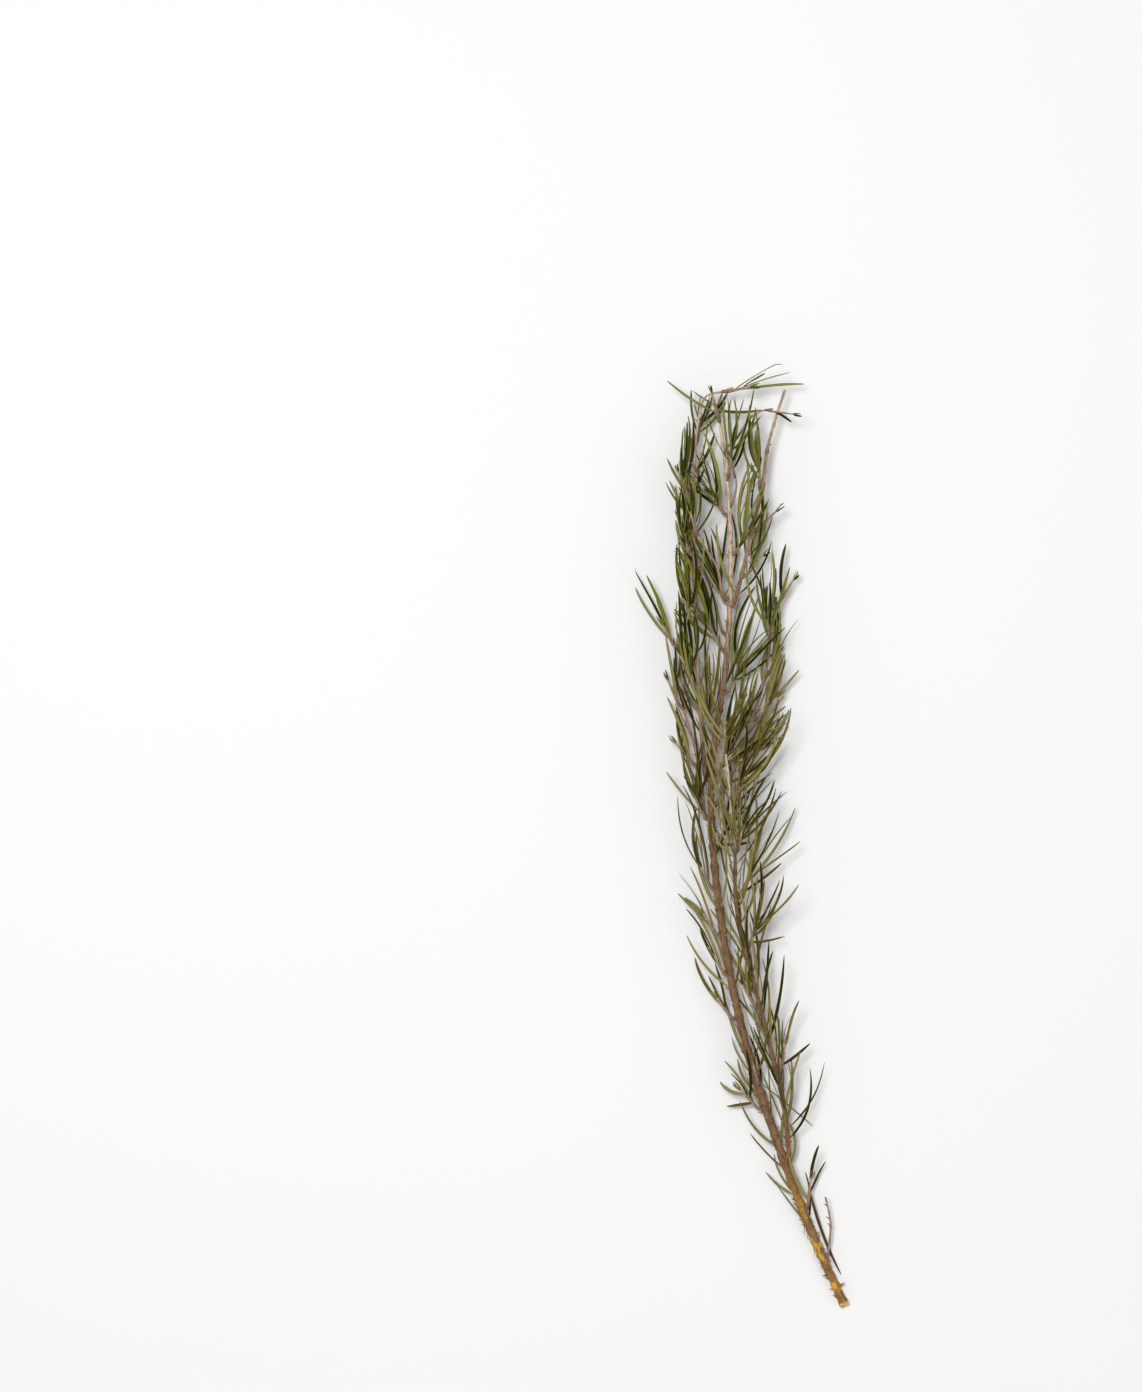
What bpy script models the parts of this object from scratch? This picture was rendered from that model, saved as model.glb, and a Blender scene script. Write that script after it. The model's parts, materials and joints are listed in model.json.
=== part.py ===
"""A dried sprig of rosemary, cut from the bush and lying down.

A woody main stem carries side branches. Along each of them sit short leafy shoots, and each
shoot with its leaves is one piece. The sprig lies along +Y: the cut end is at -Y and the
growing tip at +Y, +Z is up, and the lowest leaves touch Z = 0. Growth is worked out in
millimetres and turned into metres where the solids are made.
"""

import math
import random

import bmesh
import bpy
import numpy as np

MM = 0.001

# Driving dimensions, in millimetres.
GAP = 0.35              # clear space kept between separate pieces
REST_HEIGHT = 0.45      # height of the middle line of a leaf that lies on the table
TOP_HEIGHT = 23.0       # no leaf reaches higher than this
LEAF_HALF_WIDTH = 0.60  # half the width of a full leaf
LEAF_BASE_SHARE = 0.45  # width at the leaf's foot, as a share of its full width
LEAF_DEPTH = 0.62       # depth of the leaf's keel, as a share of its half width
LEAF_EDGE_RISE = 0.1    # how far the edges stand above the middle line, as a share of half width
LAST_RING_AT = 0.9      # share of the length where the leaf starts to close to its point
SHOOT_RADIUS = 0.55     # radius of a short shoot at its foot
SHOOT_TIP_SHARE = 0.6   # radius at the shoot's tip, as a share of that at its foot
BALL_SPACING = 0.7      # spacing of the points used to keep pieces apart
BALL_REACH = 3.0        # farther away than this, nothing can be too near
BLADE_FROM = 0.2        # leaves of one shoot may run together before this share of their length
CENTRE_X = 0.2333       # middle of the whole sprig's box, moved to X = 0
CENTRE_Y = -0.1092      # middle of the whole sprig's box, moved to Y = 0
LOWEST_Z = 0.0504       # lowest point of the whole sprig, moved to Z = 0

# Numbers of points and sides.
ROUTE_STEPS = 24        # points between two knots of a stem's route
STEM_POINT_SPACING = 8.0
STEM_SIDES_RESOLUTION = 2
SHOOT_RINGS = 2
SHOOT_SIDES = 5
LEAF_RINGS = 4
LEAF_TRIES = 80
LEAF_DRIFT = 0.04       # how much farther off its place each new try may put the tip of a placed leaf
STRICT_TRIES = 50       # tries that also keep the leaves of one shoot off each other
SHOOT_TRIES = 40

SEED = 14

# The sprig's outline seen from above: a place along Y, and how far left and right leaves may reach.
OUTLINE = ((-145.0, 18.0, 36.0), (-110.0, 2.0, 30.0), (-60.0, -10.0, 26.0), (-20.0, -18.5, 23.0),
           (5.0, -19.5, 19.5), (25.0, -20.0, 16.0), (50.0, -20.5, 14.0), (70.0, -20.5, 12.0),
           (88.0, -20.0, 9.0), (105.0, -20.0, 7.5), (125.0, -17.0, 5.5), (135.0, -14.0, 4.0))

# Stretches along Y where the main stem shows from above, and how far leaves keep from it there.
SHOWN_STRETCHES = ((-150.0, -8.0), (30.0, 122.0))
SHOWN_MARGIN = 1.7

# Stems: the route of the middle line, the radius at the foot and at the tip, and how fast it tapers.
STEMS = {
    "main_stem": dict(
        route=((31.4, -141.8, 1.55), (20.6, -117.5, 2.3), (10.4, -90.5, 4.6), (1.1, -61.7, 7.0),
               (-5.6, -28.7, 8.6), (-8.9, 2.0, 9.5), (-8.6, 24.5, 9.5), (-4.4, 54.5, 9.2),
               (-3.3, 90.0, 9.0), (-5.9, 120.5, 7.8), (-8.3, 130.1, 7.2)),
        radius=(1.5, 0.4), taper=0.6),
    "right_long_branch": dict(
        route=((14.4, -94.8, 4.9), (12.5, -79.1, 7.0), (5.9, -52.7, 9.8), (-1.4, -22.7, 12.0),
               (-2.2, -2.6, 13.0), (-4.4, 20.0, 14.0), (-5.9, 30.5, 14.5)),
        radius=(0.85, 0.4), taper=0.8),
    "right_middle_branch": dict(
        route=((-6.6, 11.5, 9.3), (-1.5, 22.0, 7.5), (3.5, 36.0, 6.5), (7.5, 50.0, 6.5), (10.5, 72.0, 7.5)),
        radius=(0.7, 0.35), taper=0.8),
    "left_thin_branch": dict(
        route=((-11.2, 7.5, 9.0), (-13.4, 24.5, 7.6), (-17.0, 37.4, 6.5), (-17.9, 51.5, 6.0),
               (-19.4, 59.6, 5.5)),
        radius=(0.6, 0.35), taper=0.8),
    "left_long_branch": dict(
        route=((-11.1, 19.5, 10.8), (-13.1, 47.0, 13.0), (-14.0, 74.0, 12.0), (-14.6, 101.0, 10.0),
               (-13.1, 123.5, 8.5), (-11.0, 131.6, 9.0), (-5.9, 133.4, 10.5), (-2.6, 134.6, 11.0)),
        radius=(0.75, 0.3), taper=0.8),
    "upper_right_branch": dict(
        route=((-1.7, 71.5, 9.5), (2.0, 86.6, 10.0), (6.2, 105.5, 10.0), (7.7, 116.0, 9.5),
               (10.1, 125.0, 9.0), (13.1, 134.0, 8.5)),
        radius=(0.7, 0.42), taper=0.8),
    "upper_left_low_branch": dict(
        route=((-6.1, 62.5, 7.7), (-8.6, 72.8, 7.0), (-13.1, 84.2, 6.0), (-17.9, 96.5, 5.0)),
        radius=(0.5, 0.35), taper=0.8),
    "upper_left_high_branch": dict(
        route=((-6.2, 74.2, 10.8), (-7.7, 81.2, 12.5), (-12.5, 88.4, 14.0), (-14.3, 92.6, 15.0)),
        radius=(0.5, 0.35), taper=0.8),
    "tip_spur": dict(
        route=((-2.2, 101.8, 10.0), (-1.6, 105.5, 11.2), (-2.6, 109.4, 12.5)),
        radius=(0.38, 0.3), taper=1.0),
    "bent_twig": dict(
        route=((-4.0, 117.2, 9.0), (-1.1, 119.9, 9.6), (2.0, 125.0, 10.2), (5.5, 127.4, 10.4),
               (9.3, 128.2, 10.8)),
        radius=(0.36, 0.28), taper=1.0),
    "lower_dry_twig": dict(
        route=((26.5, -125.0, 3.0), (27.0, -116.6, 4.5), (25.4, -108.5, 5.5)),
        radius=(0.36, 0.25), taper=1.0),
    "middle_dry_twig": dict(
        route=((5.5, -56.9, 10.7), (4.4, -53.5, 11.6), (2.4, -50.0, 12.4)),
        radius=(0.34, 0.25), taper=1.0),
}

# Leafy shoots: the place along the stem, the side it leaves from (0 right, 90 up, 180 left,
# 270 down), the number of leaves, the leaf length, and the tips of leaves with a place of their own.
SHOOTS = {
    "main_stem": (
        dict(at=0.118, side=25, leaves=4, length=13,
             tips=((14.2, -95.5, 6.0), (25.6, -98.0, 3.5), (30.4, -132.5, 0.8))),
        dict(at=0.235, side=165, leaves=5, length=10,
             tips=((-5.0, -67.5, 7.0), (-4.3, -81.5, 3.0), (1.2, -63.5, 9.5))),
        dict(at=0.262, side=85, leaves=3, length=14, tips=((21.5, -88.0, 5.0), (-6.0, -59.0, 8.5))),
        dict(at=0.335, side=195, leaves=3, length=15, tips=((-9.8, -42.0, 5.0), (-8.0, -38.0, 8.0))),
        dict(at=0.385, side=170, leaves=3, length=19, tips=((-14.6, -21.5, 8.0), (-12.2, -27.5, 4.5))),
        dict(at=0.428, side=180, leaves=5, length=18,
             tips=((-15.5, -8.9, 11.0), (-22.0, -14.9, 8.0), (-18.5, -20.5, 4.0), (-1.2, -46.5, 6.5))),
        dict(at=0.478, side=150, leaves=6, length=21,
             tips=((-17.6, 15.5, 12.0), (-14.7, 8.2, 8.0), (-12.4, 12.0, 4.0))),
        dict(at=0.520, side=330, leaves=10, length=19, tips=((2.6, -1.5, 11.0),)),
        dict(at=0.552, side=165, leaves=11, length=19, tips=((-22.4, 19.4, 9.0), (-19.1, 17.0, 12.5))),
        dict(at=0.600, side=15, leaves=12, length=21, tips=()),
        dict(at=0.645, side=200, leaves=12, length=21, tips=()),
        dict(at=0.690, side=350, leaves=13, length=22, tips=()),
        dict(at=0.735, side=170, leaves=13, length=21, tips=()),
        dict(at=0.785, side=205, leaves=13, length=21, tips=()),
        dict(at=0.838, side=25, leaves=12, length=20, tips=()),
        dict(at=0.880, side=175, leaves=13, length=19, tips=()),
        dict(at=0.922, side=60, leaves=10, length=17,
             tips=((-5.6, 131.5, 12.0), (2.6, 134.0, 10.5), (5.6, 126.0, 9.0), (-9.0, 127.5, 4.0))),
        dict(at=0.985, side=90, leaves=5, length=18,
             tips=((-22.2, 136.6, 10.0), (6.2, 128.2, 7.0), (-14.5, 134.0, 4.5))),
    ),
    "right_long_branch": (
        dict(at=0.20, side=10, leaves=4, length=14, tips=((20.5, -62.0, 9.0),)),
        dict(at=0.36, side=150, leaves=4, length=15, tips=()),
        dict(at=0.50, side=20, leaves=10, length=19, tips=((13.0, -30.0, 10.0),)),
        dict(at=0.62, side=340, leaves=12, length=22, tips=((12.0, -8.0, 9.0),)),
        dict(at=0.73, side=60, leaves=13, length=22, tips=()),
        dict(at=0.85, side=10, leaves=13, length=22, tips=()),
        dict(at=0.97, side=80, leaves=13, length=22, tips=()),
    ),
    "right_middle_branch": (
        dict(at=0.20, side=350, leaves=11, length=21, tips=((13.0, 42.0, 4.0),)),
        dict(at=0.42, side=15, leaves=12, length=21, tips=((17.5, 50.0, 6.0),)),
        dict(at=0.64, side=340, leaves=12, length=20, tips=((18.0, 66.5, 5.0),)),
        dict(at=0.82, side=120, leaves=11, length=19, tips=((14.5, 81.0, 9.0),)),
        dict(at=0.98, side=20, leaves=10, length=17, tips=((13.5, 88.0, 6.0),)),
    ),
    "left_thin_branch": (
        dict(at=0.28, side=185, leaves=6, length=18, tips=((-22.3, 41.9, 7.0),)),
        dict(at=0.62, side=165, leaves=10, length=19, tips=((-22.8, 60.0, 9.0),)),
        dict(at=0.97, side=175, leaves=10, length=20,
             tips=((-32.3, 80.6, 5.0), (-32.0, 75.0, 2.5), (-28.4, 78.4, 8.5), (-25.8, 73.6, 4.0))),
    ),
    "left_long_branch": (
        dict(at=0.22, side=170, leaves=11, length=20, tips=()),
        dict(at=0.38, side=190, leaves=12, length=20, tips=((-22.1, 85.2, 10.0),)),
        dict(at=0.54, side=160, leaves=12, length=20, tips=()),
        dict(at=0.68, side=185, leaves=12, length=19, tips=((-22.4, 113.5, 9.0),)),
        dict(at=0.82, side=170, leaves=10, length=17, tips=((-20.0, 127.0, 7.0), (-17.5, 131.5, 11.0))),
        dict(at=0.985, side=60, leaves=5, length=15,
             tips=((18.8, 135.8, 9.5), (12.2, 142.2, 12.5), (14.6, 139.2, 11.0), (8.2, 136.4, 10.5))),
    ),
    "upper_right_branch": (
        dict(at=0.12, side=330, leaves=12, length=20, tips=((8.0, 91.0, 5.0),)),
        dict(at=0.34, side=10, leaves=11, length=19, tips=((8.2, 101.5, 7.0),)),
        dict(at=0.53, side=180, leaves=12, length=17,
             tips=((0.5, 92.0, 11.0), (2.6, 89.5, 13.5), (6.5, 92.6, 14.0), (2.8, 112.0, 11.0))),
    ),
    "upper_left_low_branch": (
        dict(at=0.55, side=200, leaves=11, length=18, tips=()),
        dict(at=0.97, side=180, leaves=10, length=16, tips=((-22.4, 105.3, 5.5), (-20.6, 107.5, 7.5))),
    ),
    "upper_left_high_branch": (
        dict(at=0.95, side=90, leaves=11, length=18, tips=()),
    ),
    "tip_spur": (
        dict(at=0.95, side=90, leaves=6, length=16, tips=()),
    ),
    "bent_twig": (
        dict(at=0.96, side=60, leaves=3, length=7, tips=((14.9, 124.2, 11.5),)),
    ),
}

SHOOT_LENGTH = 8.0                # length of a leafy shoot
SHOOT_LEAN = (14.0, 34.0)         # degrees between a shoot and its stem
LEAF_LEAN = (8.0, 33.0)           # degrees between a leaf and its shoot
LEAF_LENGTH_SPREAD = (0.85, 1.3)
LEAF_BOW = (-0.20, 0.27)          # how far a leaf's middle stands out, as a share of its length
LEAF_SWAY = 0.14                  # sideways bow, as a share of the length
LEAF_TURN = 40.0                  # degrees a leaf may be turned about its own length
LEAF_WIDTH_SPREAD = (0.8, 1.15)
LEAF_BASE_RISE = 3.0              # how fast a leaf widens from its foot
LEAF_TIP_POWER = 5                # higher is a blunter tip
LEAF_FROM = 0.12                  # share of a shoot's length at its first leaf
LEAF_STRETCH = 0.8                # share of a shoot's length that carries leaves
TURN_BETWEEN_LEAVES = 137.5       # degrees round the shoot from one leaf to the next
TURN_DRIFT = 0.3                  # how far off that turn a leaf may start, in radians
TURN_DRIFT_GROWTH = 0.2           # how much wider the drift is on each new try
LEAF_SHRINK = 0.3                 # how much shorter the last try's leaf is, as a share
PLACED_BOW = (0.02, 0.12)         # bow of a leaf whose tip has a place of its own
PLACED_WIDTH_SPREAD = (0.95, 1.2)
HEIGHT_DRIFT = 1.6                # drift of a placed tip upwards, as a share of that sideways
SHOOT_LENGTH_SPREAD = (0.8, 1.2)
SHOOT_SHRINK = 0.4                # how much shorter the last try's shoot is, as a share
SHOOT_TURN_STEP = 6.0             # how many degrees farther round the stem each new try may go
SHOOT_STANDOFF = 0.1              # extra gap between a shoot's foot and its stem
SHOOT_BALLS = 10                  # points along a shoot used to keep pieces apart

# Colour, roughness and metallic value of each kind of piece.
LOOKS = {
    "old_wood": ((0.20, 0.12, 0.06, 1.0), 0.85, 0.0),
    "young_wood": ((0.38, 0.27, 0.20, 1.0), 0.80, 0.0),
    "dead_wood": ((0.33, 0.26, 0.22, 1.0), 0.88, 0.0),
    "dry_leaf": ((0.15, 0.15, 0.06, 1.0), 0.72, 0.0),
    "green_leaf": ((0.07, 0.12, 0.02, 1.0), 0.62, 0.0),
}
OLD_WOOD_STEMS = ("main_stem", "right_long_branch")
DEAD_WOOD_STEMS = ("lower_dry_twig", "middle_dry_twig")
GREEN_FROM_Y = 40.0     # leafy shoots above this height on the sprig have kept their green


def unit(vector):
    """The same direction with length one."""
    return vector / max(np.linalg.norm(vector), 1e-9)


class Route:
    """A smooth line through a stem's knots, read by the share of its length."""

    def __init__(self, knots):
        knots = np.array(knots, dtype=float)
        before = 2 * knots[0] - knots[1]
        after = 2 * knots[-1] - knots[-2]
        padded = np.vstack((before, knots, after))
        line = []
        for i in range(len(knots) - 1):
            a, b, c, d = padded[i:i + 4]
            for t in np.arange(ROUTE_STEPS) / ROUTE_STEPS:
                line.append(0.5 * (2 * b + (c - a) * t + (2 * a - 5 * b + 4 * c - d) * t ** 2
                                   + (3 * b - a - 3 * c + d) * t ** 3))
        line.append(knots[-1])
        self.line = np.array(line)
        steps = np.linalg.norm(np.diff(self.line, axis=0), axis=1)
        self.reach = np.concatenate(((0.0,), np.cumsum(steps)))
        self.length = self.reach[-1]

    def at(self, share):
        """The point at a share of the length."""
        place = min(max(share, 0.0), 1.0) * self.length
        return np.array([np.interp(place, self.reach, self.line[:, axis]) for axis in range(3)])

    def along(self, share):
        """The direction of growth at a share of the length."""
        step = 1.0 / self.length
        return unit(self.at(share + step) - self.at(share - step))


class Clearing:
    """All that has grown so far, as balls along each piece's middle line."""

    def __init__(self):
        self.points = np.zeros((0, 3))
        self.radii = np.zeros(0)
        self.owners = np.zeros(0, dtype=int)
        self.blades = np.zeros(0, dtype=bool)
        self.shown = np.zeros((0, 3))

    def show_stem(self, line):
        """Keep the stretches of the main stem that leaves should not cover."""
        for low, high in SHOWN_STRETCHES:
            stretch = line[(line[:, 1] > low) & (line[:, 1] < high)]
            self.shown = np.vstack((self.shown, stretch))

    def covers_stem(self, points):
        """True if the outer two thirds of a leaf pass over a stretch that should show."""
        outer = points[len(points) // 3:]
        apart = np.linalg.norm(outer[:, None, :2] - self.shown[None, :, :2], axis=2)
        over = outer[:, None, 2] > self.shown[None, :, 2]
        return bool(np.any((apart < SHOWN_MARGIN) & over))

    def add(self, owner, points, radii, blades=None):
        """Keep a piece's balls; blades marks those on the outer part of a leaf."""
        if blades is None:
            blades = np.zeros(len(points), dtype=bool)
        self.points = np.vstack((self.points, points))
        self.radii = np.concatenate((self.radii, radii))
        self.owners = np.concatenate((self.owners, np.full(len(points), owner)))
        self.blades = np.concatenate((self.blades, blades))

    def keeps_off(self, points, radii, chosen, gap):
        """True if the balls stay the gap away from the chosen ones."""
        if not chosen.any() or not len(points):
            return True
        distances = np.linalg.norm(points[:, None, :] - self.points[chosen][None, :, :], axis=2)
        return bool(np.all(distances > radii[:, None] + self.radii[chosen][None, :] + gap))

    def is_free(self, owner, points, radii, blades=None):
        """True if the balls are clear of every other piece, and of the other leaves of their own."""
        low = points.min(axis=0) - BALL_REACH
        high = points.max(axis=0) + BALL_REACH
        near = np.all((self.points > low) & (self.points < high), axis=1)
        if not self.keeps_off(points, radii, near & (self.owners != owner), GAP):
            return False
        if blades is None:
            return True
        return self.keeps_off(points[blades], radii[blades], near & (self.owners == owner) & self.blades, 0.0)


class Leaf:
    """A narrow leaf: an arc from its foot to its tip, and the way its upper face looks."""

    def __init__(self, foot, middle, tip, half_width, face):
        self.foot = foot
        self.middle = middle
        self.tip = tip
        self.half_width = half_width
        self.face = face
        self.length = np.linalg.norm(middle - foot) + np.linalg.norm(tip - middle)

    def at(self, share):
        back = 1.0 - share
        return back * back * self.foot + 2 * back * share * self.middle + share * share * self.tip

    def along(self, share):
        return unit((1 - share) * (self.middle - self.foot) + share * (self.tip - self.middle))

    def width_at(self, share):
        """Half the width: narrow at the foot, full along the blade, rounded off at the tip."""
        foot = min(1.0, LEAF_BASE_SHARE + LEAF_BASE_RISE * share)
        return self.half_width * foot * math.sqrt(max(0.0, 1.0 - share ** LEAF_TIP_POWER))

    def balls(self):
        count = max(4, int(self.length / BALL_SPACING))
        shares = np.linspace(0.0, 1.0, count + 1)
        points = np.array([self.at(share) for share in shares])
        radii = np.array([self.width_at(share) for share in shares])
        return points, radii, shares > BLADE_FROM


def stem_radius(spec, share):
    """The radius of a stem, thick at its foot and thin at its tip."""
    foot, tip = spec["radius"]
    return tip + (foot - tip) * (1.0 - min(max(share, 0.0), 1.0)) ** spec["taper"]


def sides_of(direction):
    """The right-hand and the upper direction square to a line of growth."""
    right = unit(np.cross(direction, np.array((0.0, 0.0, 1.0))))
    upper = np.cross(right, direction)
    return right, upper


def settle(point):
    """A point of a leaf, kept above the table."""
    return np.array((point[0], point[1], max(point[2], REST_HEIGHT)))


def inside_outline(leaf):
    """True if the leaf keeps to the sprig's outline and height."""
    outline = np.array(OUTLINE)
    for point in (leaf.middle, leaf.tip):
        left = np.interp(point[1], outline[:, 0], outline[:, 1])
        right = np.interp(point[1], outline[:, 0], outline[:, 2])
        if not left < point[0] < right or point[2] > TOP_HEIGHT or point[1] > outline[-1, 0]:
            return False
    return True


def bow_leaf(foot, tip, bow, sway, half_width, stem_direction, turn):
    """A leaf between two points, bowed away from its stem and turned about its length."""
    tip = settle(tip)
    chord = tip - foot
    length = np.linalg.norm(chord)
    side = np.cross(unit(chord), stem_direction)
    side = unit(side) if np.linalg.norm(side) > 0.05 else sides_of(unit(chord))[0]
    outward = np.cross(unit(chord), side)
    middle = settle(foot + 0.5 * chord + outward * bow * length + side * sway * length)
    face = -outward * math.cos(turn) + side * math.sin(turn)
    return Leaf(foot, middle, tip, half_width, face)


def random_leaf(rng, foot, shoot_direction, azimuth, length):
    """A leaf that leaves its shoot at a drawn lean, in the given direction round the shoot."""
    lean = math.radians(rng.uniform(*LEAF_LEAN))
    right, upper = sides_of(shoot_direction)
    outward = right * math.cos(azimuth) + upper * math.sin(azimuth)
    direction = shoot_direction * math.cos(lean) + outward * math.sin(lean)
    reach = length * rng.uniform(*LEAF_LENGTH_SPREAD)
    bow = rng.uniform(*LEAF_BOW)
    sway = rng.uniform(-LEAF_SWAY, LEAF_SWAY)
    half_width = LEAF_HALF_WIDTH * rng.uniform(*LEAF_WIDTH_SPREAD)
    turn = math.radians(rng.uniform(-LEAF_TURN, LEAF_TURN))
    return bow_leaf(foot, foot + direction * reach, bow, sway, half_width, shoot_direction, turn)


def grow_shoot(rng, clearing, owner, stem, route, spec):
    """A short shoot beside its stem, with its leaves, clear of all that has grown already."""
    at = spec["at"]
    stem_direction = route.along(at)
    right, upper = sides_of(stem_direction)
    radius = stem_radius(stem, at)
    line = None
    for attempt in range(SHOOT_TRIES):
        spread = SHOOT_TURN_STEP * attempt
        azimuth = math.radians(spec["side"] + rng.uniform(-spread, spread))
        outward = right * math.cos(azimuth) + upper * math.sin(azimuth)
        lean = math.radians(rng.uniform(*SHOOT_LEAN))
        direction = stem_direction * math.cos(lean) + outward * math.sin(lean)
        shrink = 1.0 - SHOOT_SHRINK * attempt / SHOOT_TRIES
        length = SHOOT_LENGTH * rng.uniform(*SHOOT_LENGTH_SPREAD) * shrink
        foot = route.at(at) + outward * (radius + SHOOT_RADIUS + GAP + SHOOT_STANDOFF)
        shares = np.linspace(0.0, 1.0, SHOOT_BALLS)
        points = foot + shares[:, None] * direction * length
        radii = SHOOT_RADIUS * (1.0 - (1.0 - SHOOT_TIP_SHARE) * shares)
        if points[:, 2].min() > SHOOT_RADIUS and clearing.is_free(owner, points, radii):
            line = (foot, direction, length)
            break
    if line is None:
        return None
    foot, direction, length = line
    clearing.add(owner, points, radii)
    leaves = []
    for number in range(spec["leaves"]):
        share = LEAF_FROM + LEAF_STRETCH * number / spec["leaves"]
        place = foot + direction * length * share
        if number < len(spec["tips"]):
            tip = np.array(spec["tips"][number])
            leaf = fixed_leaf(rng, clearing, owner, place, tip, direction)
        else:
            leaf = free_leaf(rng, clearing, owner, place, direction, number, spec["length"])
        if leaf is not None:
            leaves.append(leaf)
            clearing.add(owner, *leaf.balls())
    return dict(foot=foot, direction=direction, length=length, leaves=leaves)


def fixed_leaf(rng, clearing, owner, place, tip, direction):
    """A leaf whose tip has a place of its own, give or take a little."""
    for attempt in range(LEAF_TRIES):
        slack = LEAF_DRIFT * attempt
        drift = np.array([rng.uniform(-slack, slack) for _ in range(3)])
        drift[2] *= HEIGHT_DRIFT
        bow = rng.uniform(*PLACED_BOW)
        sway = rng.uniform(-LEAF_SWAY, LEAF_SWAY)
        turn = math.radians(rng.uniform(-LEAF_TURN, LEAF_TURN))
        half_width = LEAF_HALF_WIDTH * rng.uniform(*PLACED_WIDTH_SPREAD)
        leaf = bow_leaf(place, tip + drift, bow, sway, half_width, direction, turn)
        if clearing.is_free(owner, *leaf.balls()):
            return leaf
    return None


def free_leaf(rng, clearing, owner, place, direction, number, length):
    """A leaf at the next turn round the shoot, wherever there is room for it."""
    for attempt in range(LEAF_TRIES):
        drift = rng.uniform(-TURN_DRIFT, TURN_DRIFT) * (1.0 + attempt * TURN_DRIFT_GROWTH)
        azimuth = number * math.radians(TURN_BETWEEN_LEAVES) + drift
        shrink = 1.0 - LEAF_SHRINK * attempt / LEAF_TRIES
        leaf = random_leaf(rng, place, direction, azimuth, length * shrink)
        points, radii, blades = leaf.balls()
        if attempt >= STRICT_TRIES:
            blades = None
        if not inside_outline(leaf) or clearing.covers_stem(points):
            continue
        if clearing.is_free(owner, points, radii, blades):
            return leaf
    return None


def grow_sprig():
    """All routes and leafy shoots of the sprig."""
    rng = random.Random(SEED)
    clearing = Clearing()
    routes = {}
    for owner, (name, stem) in enumerate(STEMS.items()):
        route = Route(stem["route"])
        routes[name] = route
        count = int(route.length / BALL_SPACING)
        shares = np.linspace(0.0, 1.0, count + 1)
        points = np.array([route.at(share) for share in shares])
        clearing.add(owner, points, np.array([stem_radius(stem, share) for share in shares]))
    clearing.show_stem(routes["main_stem"].line)
    shoots = {}
    owner = len(STEMS)
    for name in SHOOTS:
        for number, spec in enumerate(SHOOTS[name], start=1):
            shoot = grow_shoot(rng, clearing, owner, STEMS[name], routes[name], spec)
            owner += 1
            if shoot is not None:
                shoots[f"{name}_leaves_{number:02d}"] = shoot
    return routes, shoots


def placed(point):
    """A point of the growth, in metres in the sprig's own frame."""
    return ((point[0] - CENTRE_X) * MM, (point[1] - CENTRE_Y) * MM, (point[2] - LOWEST_Z) * MM)


def clear_scene():
    for old in list(bpy.data.objects):
        bpy.data.objects.remove(old)


def make_material(name):
    """A plain surface with the colour, roughness and metallic value of its kind."""
    colour, roughness, metallic = LOOKS[name]
    material = bpy.data.materials.new(name)
    material.use_nodes = True
    shader = material.node_tree.nodes["Principled BSDF"]
    shader.inputs["Base Color"].default_value = colour
    shader.inputs["Roughness"].default_value = roughness
    shader.inputs["Metallic"].default_value = metallic
    return material


def make_stem(name, stem, route, material):
    """A stem: a tapering round bar along its route, cut flat at its foot and closed at its tip."""
    curve = bpy.data.curves.new(name, "CURVE")
    curve.dimensions = "3D"
    curve.bevel_depth = MM
    curve.bevel_resolution = STEM_SIDES_RESOLUTION
    curve.use_fill_caps = True
    count = max(4, int(route.length / STEM_POINT_SPACING))
    spline = curve.splines.new("POLY")
    spline.points.add(count)
    for i, point in enumerate(spline.points):
        share = i / count
        point.co = (*placed(route.at(share)), 1.0)
        point.radius = stem_radius(stem, share)
    curve.materials.append(material)
    piece = bpy.data.objects.new(name, curve)
    bpy.context.collection.objects.link(piece)
    return piece


def skin_rings(rings, tip=None):
    """A closed solid over rings of points, with a flat foot and a flat or pointed end."""
    solid = bmesh.new()
    loops = [[solid.verts.new(placed(point)) for point in ring] for ring in rings]
    sides = len(loops[0])
    for lower, upper in zip(loops, loops[1:]):
        for i in range(sides):
            j = (i + 1) % sides
            solid.faces.new((lower[i], lower[j], upper[j], upper[i]))
    solid.faces.new(loops[0][::-1])
    if tip is None:
        solid.faces.new(loops[-1])
    else:
        point = solid.verts.new(placed(tip))
        for i in range(sides):
            solid.faces.new((loops[-1][i], loops[-1][(i + 1) % sides], point))
    bmesh.ops.triangulate(solid, faces=solid.faces)
    bmesh.ops.recalc_face_normals(solid, faces=solid.faces)
    mesh = bpy.data.meshes.new("solid")
    solid.to_mesh(mesh)
    solid.free()
    return mesh


def shoot_solid(shoot):
    """The shoot itself: a short bar that tapers towards its tip."""
    right, upper = sides_of(shoot["direction"])
    rings = []
    for share in np.linspace(0.0, 1.0, SHOOT_RINGS):
        centre = shoot["foot"] + shoot["direction"] * shoot["length"] * share
        radius = SHOOT_RADIUS * (1.0 - (1.0 - SHOOT_TIP_SHARE) * share)
        turns = np.arange(SHOOT_SIDES) * math.tau / SHOOT_SIDES
        rings.append([centre + (right * math.cos(t) + upper * math.sin(t)) * radius for t in turns])
    return skin_rings(rings)


def leaf_solid(leaf):
    """A leaf: a flat upper face and a keel below, from its foot to its pointed tip."""
    rings = []
    for share in np.linspace(0.0, LAST_RING_AT, LEAF_RINGS):
        direction = leaf.along(share)
        side = unit(np.cross(direction, leaf.face))
        face = np.cross(side, direction)
        half = leaf.width_at(share)
        centre = leaf.at(share)
        keel = centre - face * half * LEAF_DEPTH
        edge = centre + face * half * LEAF_EDGE_RISE
        rings.append([edge - side * half, keel, edge + side * half])
    return skin_rings(rings, leaf.at(1.0))


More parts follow.
